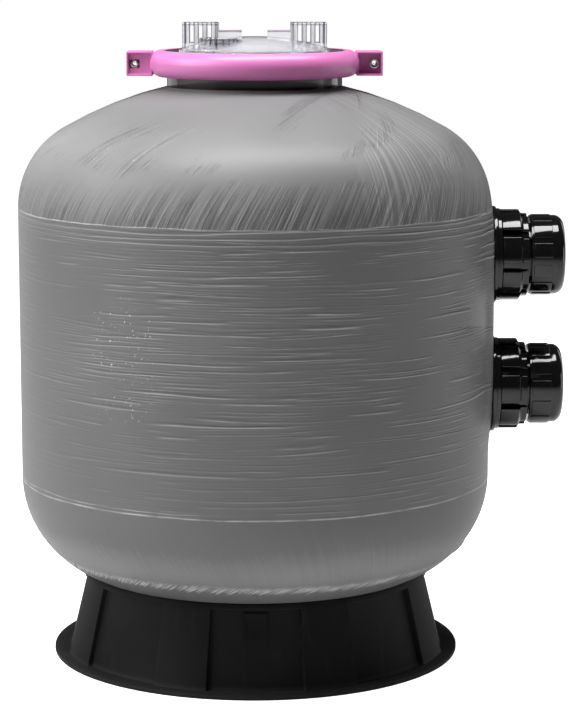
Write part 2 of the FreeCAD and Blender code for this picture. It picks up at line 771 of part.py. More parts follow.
def make_clamp_half(label, rotation):
    """Half of the clamp ring: a V groove inside, a rounded outside and an ear at each end.

    Both halves are the same moulding. The right ear holds a screw head, the left ear a nut.
    """
    body = new_body(label)
    middle = size.closure_height
    low = middle - size.clamp_half_height
    high = middle + size.clamp_half_height
    low_lip = size.neck_radius + size.gap * 2
    high_lip = size.flange_land + size.slip
    reach = size.flange_radius + size.slip
    lower_slope = middle - size.flange_edge - size.gap
    upper_slope = middle + size.flange_edge + size.gap * 2
    turn_profile(body, [
        (low_lip, low),
        (size.clamp_edge_radius, low),
        (size.clamp_edge_radius, high, size.clamp_bulge_radius, 1),
        (high_lip, high),
        (high_lip, upper_slope + flange_rise(high_lip)),
        (reach, upper_slope + flange_rise(reach)),
        (reach, lower_slope - flange_rise(reach)),
        (size.flange_land, lower_slope - flange_rise(size.flange_land)),
        (low_lip, lower_slope - flange_rise(size.flange_land)),
    ])
    split = size.clamp_split / 2
    away = new_sketch(body, "XY_Plane", (ZERO, ZERO, low - size.gap))
    draw_outline(away, box_corners(-size.ear_reach, -split, size.ear_reach, size.ear_reach))
    bore(body, away, size.clamp_half_height * 2 + size.gap * 2)
    ear_low = middle - size.ear_half_height
    ear_high = middle + size.ear_half_height
    for side in (1, -1):
        root, tip = size.ear_root * side, size.ear_reach * side
        ear = new_sketch(body, "XZ_Plane", (ZERO, ZERO, split))
        draw_outline(ear, box_corners(root, ear_low, tip, ear_high) if side > 0
                     else box_corners(tip, ear_low, root, ear_high))
        extrude(body, ear, size.ear_depth)
        depth = size.head_recess if side > 0 else size.nut_recess
        inner = (size.bolt_offset * 2 - size.ear_reach + size.ear_wall) * side
        outer = (size.ear_reach - size.ear_wall) * side
        recess = new_sketch(body, "XZ_Plane", (ZERO, ZERO, split + size.ear_depth - depth))
        draw_outline(recess, box_corners(
            inner if side > 0 else outer, ear_low + size.ear_wall,
            outer if side > 0 else inner, ear_high - size.ear_wall))
        bore(body, recess, depth + size.gap)
        hole = new_sketch(body, "XZ_Plane")
        draw_circle(hole, size.bolt_offset * side, middle, size.screw_radius + size.gap)
        bore(body, hole, size.ear_depth * 2)
    pocket_half = size.nut_flats / 2 + size.gap
    pocket_wide = size.nut_flats / math.sqrt(3) + size.gap
    pocket = new_sketch(body, "XZ_Plane", (ZERO, ZERO, nut_seat))
    draw_outline(pocket, box_corners(
        -size.bolt_offset - pocket_wide, middle - pocket_half,
        -size.bolt_offset + pocket_wide, middle + pocket_half))
    bore(body, pocket, size.ear_depth)
    place(body, ZERO, ZERO, ZERO, rotation)


# Distances from the clamp's split plane to the seats of the washers and the nuts
head_seat = size.clamp_split / 2 + size.ear_depth - size.head_recess
nut_seat = size.clamp_split / 2 + size.ear_depth - size.nut_recess - size.nut_pocket


def make_clamp_fasteners(side_name, across, outwards, inwards):
    """Screw and washer on one half of the clamp, and the nut held in the other half."""
    head_face = head_seat + size.washer_thickness
    washer = ring(f"clamp_washer_{side_name}", size.screw_radius + size.gap, size.washer_radius,
                  head_seat, head_face)
    place(washer, across, ZERO, size.closure_height, outwards)
    screw = new_body(f"clamp_screw_{side_name}")
    crown = size.screw_head_radius * 2
    head_edge = size.screw_head_height - crown + leg(crown, size.screw_head_radius)
    turn_profile(screw, [
        (ZERO, head_face - size.screw_length),
        (size.screw_radius - size.gap * 2, head_face - size.screw_length),
        (size.screw_radius, head_face - size.screw_length + size.gap * 2),
        (size.screw_radius, head_face),
        (size.screw_head_radius, head_face),
        (size.screw_head_radius, head_face + head_edge),
        (ZERO, head_face + size.screw_head_height, crown, 1),
    ])
    place(screw, across, ZERO, size.closure_height, outwards)
    nut = new_body(f"clamp_nut_{side_name}")
    sketch = new_sketch(nut, "XY_Plane", (ZERO, ZERO, nut_seat))
    draw_outline(sketch, hexagon_corners(size.nut_flats))
    draw_circle(sketch, ZERO, ZERO, size.screw_radius + size.gap)
    extrude(nut, sketch, size.nut_thickness)
    place(nut, across, ZERO, size.closure_height, inwards)


def make_air_relief():
    """Fluted knob on the lid that lets trapped air out, and the seal under it."""
    boss_top = size.closure_height + size.relief_floor + size.relief_boss_height
    seal = ring("air_relief_seal", size.relief_stem_radius + size.gap, size.relief_boss_radius - size.gap * 4,
                boss_top + size.gap, boss_top + size.gap + size.relief_seal_thickness)
    place(seal, size.relief_x, size.relief_y, ZERO)
    knob = new_body("air_relief_knob")
    ceiling = boss_top + size.relief_seal_thickness + size.gap * 2
    skirt_low = size.closure_height + size.relief_floor + size.slip * 2
    top = ceiling + size.relief_knob_wall
    turn_profile(knob, [
        (ZERO, ceiling - size.relief_stem_length),
        (size.relief_stem_radius, ceiling - size.relief_stem_length),
        (size.relief_stem_radius, ceiling),
        (size.relief_knob_radius - size.relief_knob_wall, ceiling),
        (size.relief_knob_radius - size.relief_knob_wall, skirt_low),
        (size.relief_knob_radius, skirt_low),
        (size.relief_knob_radius, top - size.flute_radius),
        (size.relief_knob_radius - size.flute_radius, top),
        (ZERO, top),
    ])
    flute(knob, size.relief_knob_radius, skirt_low - size.gap, top - skirt_low + size.gap * 2,
          size.relief_flutes)
    place(knob, size.relief_x, size.relief_y, ZERO)


def make_fitting(name, height):
    """Body of a port: a flange and pipe socket inside the tank, a long thread outside."""
    body = new_body(f"{name}_fitting")
    flange_out = pad_back - size.gasket_thickness
    flange_in = flange_out - size.inner_flange
    socket_end = flange_in - size.pipe_insert
    stop = flange_in
    socket_bore = size.pipe_radius + size.gap
    end = pad_face + size.fitting_reach
    groove_half = size.union_seal_section + size.gap
    groove_floor = end - size.union_seal_section * 2
    turn_profile(body, [
        (socket_bore, socket_end),
        (socket_bore + size.socket_wall, socket_end),
        (socket_bore + size.socket_wall, flange_in),
        (size.inner_flange_radius, flange_in),
        (size.inner_flange_radius, flange_out),
        (size.thread_radius, flange_out),
        (size.thread_radius, end),
        (size.union_seal_radius + groove_half, end),
        (size.union_seal_radius + groove_half, groove_floor),
        (size.union_seal_radius - groove_half, groove_floor),
        (size.union_seal_radius - groove_half, end),
        (size.union_bore, end),
        (size.union_bore, end - size.union_bore_depth),
        (size.pipe_bore, end - size.union_bore_depth),
        (size.pipe_bore, stop),
        (socket_bore, stop),
    ])
    place(body, ZERO, ZERO, height, TO_RIGHT)
    gasket = ring(f"{name}_inner_gasket", size.wall_hole_radius, size.inner_flange_radius,
                  flange_out, pad_back)
    place(gasket, ZERO, ZERO, height, TO_RIGHT)
    seal = square_seal(f"{name}_union_seal", size.union_seal_radius, size.union_seal_section, end)
    place(seal, ZERO, ZERO, height, TO_RIGHT)


def make_outer_ring(name, height):
    """Stepped ring between the tank's pad and the lock nut."""
    body = new_body(f"{name}_outer_ring")
    bore_radius = size.thread_radius + size.gap
    step = pad_face + size.ring_thickness / 2
    face = pad_face + size.ring_thickness
    turn_profile(body, [
        (bore_radius, pad_face),
        (size.ring_radius, pad_face),
        (size.ring_radius, step),
        (size.ring_step_radius, step),
        (size.ring_step_radius, face),
        (bore_radius, face),
    ])
    place(body, ZERO, ZERO, height, TO_RIGHT)


def make_lock_nut(name, height, turned):
    """Nut with eight broad lobes that pulls the fitting against the tank wall."""
    body = new_body(f"{name}_lock_nut")
    low = pad_face + size.ring_thickness
    high = low + size.lock_nut_length
    lobe_high = low + size.lobe_length
    root = size.lobe_floor_radius - size.gap
    turn_profile(body, box_corners(size.thread_radius + size.gap, low, size.lobe_floor_radius, high))
    lobe = turn_profile(body, [
        (root, low),
        (size.lobe_radius, low),
        (size.lobe_radius, lobe_high),
        (size.lobe_end_radius, lobe_high + size.pad_proud),
        (size.lobe_end_radius, high),
        (root, high),
    ], "Revolution", size.lobe_angle)
    repeat_round(body, lobe, size.lobe_count)
    own_turn = FreeCAD.Rotation(FreeCAD.Vector(0, 0, 1), turned.number)
    place(body, ZERO, ZERO, height, TO_RIGHT.multiply(own_turn))


def make_union(name, height, turned):
    """Union nut with its grip pads, and the tailpiece that it holds, which takes the user's pipe."""
    low = pad_face + size.union_nut_offset
    high = low + size.union_nut_length
    face = pad_face + size.fitting_reach + size.gap
    collar_out = face + size.collar_thickness
    shoulder = high - size.union_nut_round
    nut = new_body(f"{name}_union_nut")
    turn_profile(nut, [
        (size.thread_radius + size.slip, low),
        (size.union_nut_radius, low),
        (size.union_nut_radius, shoulder),
        (size.union_nut_radius - size.union_nut_round, high, size.union_nut_round, 1),
        (size.tail_radius + size.slip, high),
        (size.tail_radius + size.slip, collar_out + size.gap),
        (size.thread_radius + size.slip, collar_out + size.gap),
    ])
    pad_low = low + size.grip_rise * 2
    grip_root = size.union_nut_radius - size.grip_rise
    grip = turn_profile(nut, box_corners(
        grip_root, pad_low, size.union_nut_radius + size.grip_rise, pad_low + size.grip_length),
        "Revolution", size.grip_angle)
    repeat_round(nut, grip, size.grip_count)
    own_turn = FreeCAD.Rotation(FreeCAD.Vector(0, 0, 1), turned.number)
    place(nut, ZERO, ZERO, height, TO_RIGHT.multiply(own_turn))
    tail = new_body(f"{name}_tailpiece")
    nose = pad_face + size.fitting_reach - size.union_bore_depth + size.gap
    stop = high - size.socket_depth
    turn_profile(tail, [
        (size.pipe_bore, nose),
        (size.tail_radius, nose),
        (size.tail_radius, face),
        (size.collar_radius, face),
        (size.collar_radius, collar_out),
        (size.tail_radius, collar_out),
        (size.tail_radius, high),
        (size.socket_radius, high),
        (size.socket_radius, stop),
        (size.pipe_bore, stop),
    ])
    place(tail, ZERO, ZERO, height, TO_RIGHT)


# Where the pipes start inside the elbows, from the elbow's centre
pipe_start = size.elbow_arm - size.pipe_insert + size.gap


def make_elbow(label, height, rotation):
    """Square elbow with a round corner and a pipe socket at each end."""
    body = new_body(label)
    outer = size.pipe_radius + size.gap + size.socket_wall
    inner = size.pipe_bore
    arms = ("YZ_Plane", "XY_Plane")
    turn_profile(body, [(ZERO, -outer), (outer, ZERO, outer, 1), (ZERO, outer, outer, 1)])
    for plane in arms:
        arm = new_sketch(body, plane)
        draw_circle(arm, ZERO, ZERO, outer)
        extrude(body, arm, size.elbow_arm)
    turn_profile(body, [(ZERO, -inner), (inner, ZERO, inner, 1), (ZERO, inner, inner, 1)], "Groove")
    for plane in arms:
        for start, radius in ((ZERO, inner),
                              (size.elbow_arm - size.pipe_insert, size.pipe_radius + size.gap)):
            hole = new_sketch(body, plane, (ZERO, ZERO, start))
            draw_circle(hole, ZERO, ZERO, radius)
            bore(body, hole, size.elbow_arm + size.gap)
    place(body, ZERO, ZERO, height, rotation)


def make_pipe(label, start, end, rotation=NO_TURN, height=ZERO):
    """A straight length of pipe."""
    body = ring(label, size.pipe_bore, size.pipe_radius, start, end)
    place(body, ZERO, ZERO, height, rotation)


def make_diffuser():
    """Slotted cage on top of the riser, which spreads the incoming water."""
    body = new_body("diffuser")
    low = size.diffuser_height
    shelf = low + size.pipe_insert
    floor = shelf + size.diffuser_wall
    top = shelf + size.diffuser_cage
    socket_bore = size.pipe_radius + size.gap
    turn_profile(body, [
        (socket_bore, low),
        (socket_bore + size.socket_wall, low),
        (socket_bore + size.socket_wall, shelf),
        (size.diffuser_radius, shelf),
        (size.diffuser_radius, top),
        (ZERO, top),
        (ZERO, top - size.diffuser_wall),
        (size.diffuser_radius - size.diffuser_wall, top - size.diffuser_wall),
        (size.diffuser_radius - size.diffuser_wall, floor),
        (size.pipe_bore, floor),
        (size.pipe_bore, shelf),
        (socket_bore, shelf),
    ])
    half = size.diffuser_slot_width / 2
    middle = (floor + top - size.diffuser_wall) / 2
    slot = new_sketch(body, "YZ_Plane", (ZERO, ZERO, size.diffuser_radius - size.diffuser_wall * 2))
    draw_outline(slot, box_corners(-half, middle - size.diffuser_slot_height / 2,
                                   half, middle + size.diffuser_slot_height / 2))
    repeat_round(body, bore(body, slot, size.diffuser_wall * 3), size.diffuser_slots)


def make_collector_hub():
    """Hub that stands on the tank's floor and gathers the laterals into the drop pipe."""
    body = new_body("collector_hub")
    low = size.lateral_height - size.hub_half_height
    high = size.lateral_height + size.hub_half_height
    foot_low = bowl_height(size.foot_radius, size.tank_wall) + size.gap
    socket_bore = size.pipe_radius + size.gap
    inside = size.hub_radius - size.hub_wall
    stop = high + size.hub_socket_height - size.pipe_insert
    turn_profile(body, [
        (ZERO, foot_low),
        (size.foot_radius, foot_low),
        (size.foot_radius, low),
        (size.hub_radius, low),
        (size.hub_radius, high),
        (socket_bore + size.socket_wall, high),
        (socket_bore + size.socket_wall, high + size.hub_socket_height),
        (socket_bore, high + size.hub_socket_height),
        (socket_bore, stop),
        (size.pipe_bore, stop),
        (size.pipe_bore, high - size.hub_wall - size.gap),
        (inside, high - size.hub_wall - size.gap),
        (inside, low + size.hub_wall),
        (ZERO, low + size.hub_wall),
    ])
    boss = new_sketch(body, "YZ_Plane", (ZERO, ZERO, inside))
    draw_circle(boss, ZERO, size.lateral_height, size.lateral_radius + size.lateral_wall * 2)
    repeat_round(body, extrude(body, boss, size.hub_boss_reach - inside), size.lateral_count)
    hole = new_sketch(body, "YZ_Plane", (ZERO, ZERO, inside - size.lateral_wall))
    draw_circle(hole, ZERO, size.lateral_height, size.lateral_radius + size.gap)
    repeat_round(body, bore(body, hole, size.hub_boss_reach), size.lateral_count)


def make_lateral(number):
    """One slotted arm of the collector, closed at its outer end."""
    body = new_body(f"lateral_{number + 1}")
    inside = size.lateral_radius - size.lateral_wall
    start = size.hub_radius - size.hub_wall + size.slip
    turn_profile(body, [
        (inside, start),
        (size.lateral_radius, start),
        (size.lateral_radius, size.lateral_reach),
        (ZERO, size.lateral_reach),
        (ZERO, size.lateral_reach - size.lateral_wall),
        (inside, size.lateral_reach - size.lateral_wall),
    ])
    slots = new_sketch(body, "XZ_Plane")
    last = size.lateral_reach - size.lateral_slot_pitch
    for step in range(int(size.lateral_slots.number)):
        middle = last - size.lateral_slot_pitch * step
        draw_outline(slots, box_corners(
            size.lateral_radius / 2, middle - size.lateral_slot_width / 2,
            size.lateral_radius * 2, middle + size.lateral_slot_width / 2))
    extrude(body, slots, size.lateral_radius * 3, "Pocket", both_ways=True)
    azimuth = FreeCAD.Rotation(FreeCAD.Vector(0, 0, 1), 360 / size.lateral_count.number * number)
    place(body, ZERO, ZERO, size.lateral_height, azimuth.multiply(TO_RIGHT))


def place_on_drain(body):
    place(body, *along_drain(ZERO), drain_turn)


def make_drain():
    """Drain through the lower knuckle: body, gasket, inside nut, strainer, seal and fluted cap."""
    gasket_top = drain_face + size.drain_seal_thickness
    flange_top = gasket_top + size.drain_flange
    spigot_top = flange_top + size.drain_spigot
    tail_end = drain_back - size.drain_tail
    insert_end = tail_end + size.strainer_insert
    strainer_bore = size.strainer_radius + size.gap
    place_on_drain(ring("drain_gasket", size.drain_hole_radius, size.drain_flange_radius,
                        drain_face, gasket_top))
    body = new_body("drain_body")
    turn_profile(body, [
        (strainer_bore, tail_end),
        (size.drain_thread_radius, tail_end),
        (size.drain_thread_radius, gasket_top),
        (size.drain_flange_radius, gasket_top),
        (size.drain_flange_radius, flange_top),
        (size.drain_spigot_radius, flange_top),
        (size.drain_spigot_radius, spigot_top),
        (size.drain_bore, spigot_top),
        (size.drain_bore, insert_end),
        (strainer_bore, insert_end),
    ])
    place_on_drain(body)
    nut = new_body("drain_lock_nut")
    sketch = new_sketch(nut, "XY_Plane", (ZERO, ZERO, drain_back - size.drain_nut_length))
    draw_outline(sketch, hexagon_corners(size.drain_nut_flats))
    draw_circle(sketch, ZERO, ZERO, size.drain_thread_radius + size.gap)
    extrude(nut, sketch, size.drain_nut_length)
    place_on_drain(nut)
    strainer = new_body("drain_strainer")
    strainer_end = insert_end - size.gap - size.strainer_length
    wall = size.lateral_wall
    inside = size.strainer_radius - wall
    turn_profile(strainer, [
        (ZERO, strainer_end),
        (size.strainer_radius, strainer_end),
        (size.strainer_radius, insert_end - size.gap),
        (inside, insert_end - size.gap),
        (inside, strainer_end + wall),
        (ZERO, strainer_end + wall),
    ])
    half = size.strainer_slot_width / 2
    slot = new_sketch(strainer, "YZ_Plane", (ZERO, ZERO, inside - wall))
    draw_outline(slot, box_corners(-half, strainer_end + wall * 2, half, tail_end - wall))
    repeat_round(strainer, bore(strainer, slot, wall * 3), size.strainer_slots)
    place_on_drain(strainer)
    seal_low = spigot_top + size.gap
    seal_high = seal_low + size.drain_seal_thickness
    place_on_drain(ring("drain_seal", size.drain_bore, size.drain_spigot_radius - size.slip,
                        seal_low, seal_high))
    cap = new_body("drain_cap")
    cap_low = flange_top + size.gap * 2
    ceiling = seal_high + size.gap
    cap_top = ceiling + size.drain_cap_top
    cap_bore = size.drain_spigot_radius + size.slip
    turn_profile(cap, [
        (cap_bore, cap_low),
        (size.drain_cap_radius, cap_low),
        (size.drain_cap_radius, cap_top - size.drain_cap_bevel),
        (size.drain_cap_radius - size.drain_cap_bevel, cap_top),
        (ZERO, cap_top),
        (ZERO, ceiling),
        (cap_bore, ceiling),
    ])
    flute(cap, size.drain_cap_radius, cap_low - size.gap, cap_top - cap_low + size.gap * 2,
          size.drain_flutes)
    place_on_drain(cap)


make_tank_shell()
make_base_stand()
make_neck_ring()
square_seal("lid_seal", size.seal_ring_radius, size.seal_section, size.closure_height)
make_lid()
make_clamp_half("clamp_half_front", NO_TURN)
make_clamp_half("clamp_half_rear", HALF_TURN)
make_clamp_fasteners("right", size.bolt_offset, TO_FRONT, TO_BACK)
make_clamp_fasteners("left", -size.bolt_offset, TO_BACK, TO_FRONT)
make_air_relief()
for port, port_height, nut_turn in (("upper", size.upper_port_height, size.upper_nut_turn),
                                    ("lower", size.lower_port_height, size.lower_nut_turn)):
    make_fitting(port, port_height)
    make_outer_ring(port, port_height)
    make_lock_nut(port, port_height, nut_turn)
    make_union(port, port_height, nut_turn)
socket_floor = pad_back - size.gasket_thickness - size.inner_flange - size.gap
make_pipe("inlet_pipe", pipe_start, socket_floor, TO_RIGHT, size.upper_port_height)
make_elbow("inlet_elbow", size.upper_port_height, NO_TURN)
make_pipe("inlet_riser", size.upper_port_height + pipe_start,
          size.diffuser_height + size.pipe_insert - size.gap)
make_diffuser()
make_pipe("outlet_pipe", pipe_start, socket_floor, TO_RIGHT, size.lower_port_height)
make_elbow("outlet_elbow", size.lower_port_height, UPSIDE_DOWN)
hub_stop = size.lateral_height + size.hub_half_height + size.hub_socket_height - size.pipe_insert
make_pipe("drop_pipe", hub_stop + size.gap, size.lower_port_height - pipe_start)
make_collector_hub()
for arm in range(int(size.lateral_count.number)):
    make_lateral(arm)
make_drain()
doc.recompute()

for item in doc.Objects:
    if "Invalid" in item.State or "Error" in item.State:
        raise RuntimeError(f"{item.Label} did not recompute: {item.State}")
for part in parts:
    if part.Shape.isNull() or not part.Shape.isValid() or len(part.Shape.Solids) != 1:
        raise RuntimeError(f"{part.Label} is not one sound solid")

os.makedirs("parts", exist_ok=True)
for part in parts:
    part.Shape.exportStep(f"parts/{part.Label}.step")
print(f"{len(parts)} sub-parts written")
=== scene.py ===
import json
import math

import bmesh
import bpy
from mathutils import Matrix, Vector


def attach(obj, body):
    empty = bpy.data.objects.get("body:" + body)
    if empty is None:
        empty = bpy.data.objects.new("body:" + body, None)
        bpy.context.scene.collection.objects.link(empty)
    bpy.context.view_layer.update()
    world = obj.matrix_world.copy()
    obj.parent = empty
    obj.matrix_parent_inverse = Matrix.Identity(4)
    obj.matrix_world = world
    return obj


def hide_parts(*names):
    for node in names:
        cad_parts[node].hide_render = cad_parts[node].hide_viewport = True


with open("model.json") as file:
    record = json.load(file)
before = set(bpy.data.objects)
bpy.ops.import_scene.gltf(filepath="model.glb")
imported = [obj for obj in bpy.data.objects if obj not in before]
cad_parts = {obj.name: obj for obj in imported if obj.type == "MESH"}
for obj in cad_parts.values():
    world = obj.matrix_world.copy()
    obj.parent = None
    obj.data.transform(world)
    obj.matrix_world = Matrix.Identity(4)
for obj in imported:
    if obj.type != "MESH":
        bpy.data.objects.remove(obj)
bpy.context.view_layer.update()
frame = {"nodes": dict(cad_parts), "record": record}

# The view: a long lens 3.3 m in front of the tank, a little above it, looking down nine degrees.
# The tank stands slightly left of the middle of the picture, so the lens is turned a little right.
EYE = (0.0, -3.2612, 0.9006)
LOOK_DOWN, LOOK_RIGHT = 0.1597, math.radians(0.684)
LENS, FARTHEST = 128.5, 60.0

camera = bpy.data.objects.new("camera", bpy.data.cameras.new("camera"))
bpy.context.scene.collection.objects.link(camera)
camera.location = EYE
camera.rotation_euler = (math.pi / 2 - LOOK_DOWN, 0.0, -LOOK_RIGHT)
camera.data.lens = LENS
camera.data.clip_end = FARTHEST
bpy.context.scene.camera = camera
bpy.context.scene.view_settings.view_transform = "Standard"


# The studio: a white floor and a white room, which clear plastic also sees, and six soft lamps. The
# large one on the left and the long one above light the tank, and the one behind it gives its pale edge.
FLOOR_SIZE = 14
ROOM_LIGHT, ROOM_WHITE = 0.06, 1.0
FLOOR_LIGHT, FLOOR_WHITE = 0.02, 0.96


def soft_lamp(name, place, aim, width, height, power):
    """An oblong lamp that faces a point."""
    lamp = bpy.data.lights.new(name, "AREA")
    lamp.shape = "RECTANGLE"
    lamp.size, lamp.size_y, lamp.energy = width, height, power
    holder = bpy.data.objects.new(name, lamp)
    bpy.context.scene.collection.objects.link(holder)
    holder.location = place
    holder.rotation_euler = (Vector(aim) - Vector(place)).to_track_quat("-Z", "Y").to_euler()


def seen_white(tree, dim, white, strength):
    """Feed a strength that is white for the camera and through clear plastic, and dim for other light."""
    rays = tree.nodes.new("ShaderNodeLightPath")
    seen = tree.nodes.new("ShaderNodeMath")
    seen.operation = "MAXIMUM"
    tree.links.new(rays.outputs["Is Camera Ray"], seen.inputs[0])
    tree.links.new(rays.outputs["Is Transmission Ray"], seen.inputs[1])
    level = tree.nodes.new("ShaderNodeMapRange")
    level.inputs["To Min"].default_value = dim
    level.inputs["To Max"].default_value = white
    tree.links.new(seen.outputs[0], level.inputs["Value"])
    tree.links.new(level.outputs[0], strength)


soft_lamp("lamp_left", (-2.6, -0.8, 2.0), (0, 0, 0.6), 2.4, 2.0, 94)
soft_lamp("lamp_front", (-0.9, -3.4, 2.6), (0, 0, 0.45), 1.6, 1.2, 1)
soft_lamp("lamp_right", (2.6, 0.3, 0.4), (0, 0, 0.3), 0.6, 0.9, 4)
soft_lamp("lamp_above", (0.15, -0.3, 3.1), (0.05, 0, 0.6), 3.0, 1.0, 142)
soft_lamp("lamp_behind", (-1.6, 2.0, 0.9), (0, 0, 0.45), 1.7, 1.8, 7)
soft_lamp("lamp_edge", (1.9, 1.7, 0.7), (0.1, 0, 0.45), 0.8, 1.6, 5)

world = bpy.data.worlds.new("studio")
bpy.context.scene.world = world
world.use_nodes = True
room = world.node_tree.nodes["Background"]
room.inputs["Color"].default_value = (1, 1, 1, 1)
seen_white(world.node_tree, ROOM_LIGHT, ROOM_WHITE, room.inputs["Strength"])

floor_mesh = bmesh.new()
bmesh.ops.create_grid(floor_mesh, x_segments=1, y_segments=1, size=FLOOR_SIZE)
floor_data = bpy.data.meshes.new("floor")
floor_mesh.to_mesh(floor_data)
floor_mesh.free()
floor = bpy.data.objects.new("floor", floor_data)
bpy.context.scene.collection.objects.link(floor)

paper = bpy.data.materials.new("paper")
paper.use_nodes = True
tree = paper.node_tree
surface = tree.nodes["Principled BSDF"]
surface.inputs["Base Color"].default_value = (0.8, 0.8, 0.8, 1)
surface.inputs["Roughness"].default_value = 0.9
surface.inputs["Specular IOR Level"].default_value = 0.0
glow = tree.nodes.new("ShaderNodeEmission")
seen_white(tree, FLOOR_LIGHT, FLOOR_WHITE, glow.inputs["Strength"])
both = tree.nodes.new("ShaderNodeAddShader")
tree.links.new(surface.outputs[0], both.inputs[0])
tree.links.new(glow.outputs[0], both.inputs[1])
tree.links.new(both.outputs[0], tree.nodes["Material Output"].inputs["Surface"])
floor_data.materials.append(paper)


# The tank: glass fibre wound in polyester resin. Helical windings cross both ends, and a band of hoop
# windings covers the straight wall between two seams. The resin leaves it satin, with fine ridges.
TANK_RADIUS, TANK_WALL = 0.300, 0.006
LOW_SEAM, HIGH_SEAM = 0.231, 0.575
KNUCKLE_LOW, KNUCKLE_HIGH = 0.131, 0.114
BOWL, CROWN = 0.490, 0.485
NECK_HOLE, PORT_HOLE = 0.1108, 0.041
PAD_FACE, PAD_HALF = 0.301, 0.064
PAD_REACH, PAD_BLEND = PAD_HALF * 1.35, PAD_HALF * 0.5
UPPER_PORT, LOWER_PORT = 0.5115, 0.345
WALL_STEPS = 24
CLEAR_OF_NECK = 0.122
WIDE_STRANDS, FINE_STRANDS = 135.0, 270.0
WINDING_END = 0.134
RESIN_DARK, RESIN_GREY, RESIN_PALE = (0.025, 0.025, 0.026), (0.132, 0.131, 0.133), (0.56, 0.56, 0.56)


def trace(bm, start, moves, closed=False):
    """Draw an outline: runs to (radius, height), and arcs as (centre radius, centre height, degrees)."""
    first = bm.verts.new((start[0], 0, start[1]))
    tip = first
    for move in moves:
        if len(move) == 2:
            tip = bmesh.ops.extrude_vert_indiv(bm, verts=[tip])["verts"][0]
            tip.co = (move[0], 0, move[1])
        else:
            made = bmesh.ops.spin(bm, geom=[tip], cent=(move[0], 0, move[1]), axis=(0, -1, 0),
                                  angle=math.radians(move[2]), steps=max(3, round(abs(move[2]) / 4)))
            tip = [item for item in made["geom_last"] if isinstance(item, bmesh.types.BMVert)][0]
    if closed:
        bm.edges.new((tip, first))


def turn(bm, steps=160):
    """Turn an outline once round the upright axis and close it at the axis."""
    bmesh.ops.spin(bm, geom=bm.verts[:] + bm.edges[:], cent=(0, 0, 0), axis=(0, 0, 1), angle=math.tau,
                   steps=steps, use_merge=True)
    bmesh.ops.remove_doubles(bm, verts=bm.verts[:], dist=1e-6)
    loose = [edge for edge in bm.edges if not edge.link_faces]
    bmesh.ops.delete(bm, geom=loose, context="EDGES")
    bmesh.ops.recalc_face_normals(bm, faces=bm.faces[:])


def shade(mesh, smooth=35):
    """Shade a mesh smooth up to an angle, and sharp past it."""
    mesh.shade_smooth()
    mesh.set_sharp_from_angle(angle=math.radians(smooth))


def piece(name, bm, material, body, node, smooth=35):
    """Finish a mesh as a piece of one body, in place of the solid that it stands for."""
    mesh = bpy.data.meshes.new(name)
    bm.to_mesh(mesh)
    bm.free()
    shade(mesh, smooth)
    mesh.materials.append(material)
    made = bpy.data.objects.new(name, mesh)
    bpy.context.scene.collection.objects.link(made)
    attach(made, body)
    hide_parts(node)
    return made


def cut(target, cutter, operation="DIFFERENCE"):
    """Cut one mesh out of a piece, or join it on, and keep the result as the piece's mesh."""
    tool_mesh = bpy.data.meshes.new("tool")
    cutter.to_mesh(tool_mesh)
    cutter.free()
    tool = bpy.data.objects.new("tool", tool_mesh)
    bpy.context.scene.collection.objects.link(tool)
    step = target.modifiers.new("cut", "BOOLEAN")
    step.operation, step.object, step.solver = operation, tool, "EXACT"
    bpy.context.view_layer.update()
    result = bpy.data.meshes.new_from_object(target.evaluated_get(bpy.context.evaluated_depsgraph_get()))
    target.modifiers.remove(step)
    target.data = result
    bpy.data.objects.remove(tool)


def rod(radius, low, high, place, steps=96):
    """A plain round rod, to cut holes with."""
    bm = bmesh.new()
    middle = Matrix.Translation((0, 0, (low + high) / 2))
    bmesh.ops.create_cone(bm, cap_ends=True, segments=steps, radius1=radius, radius2=radius,
                          depth=high - low, matrix=place @ middle)
    return bm


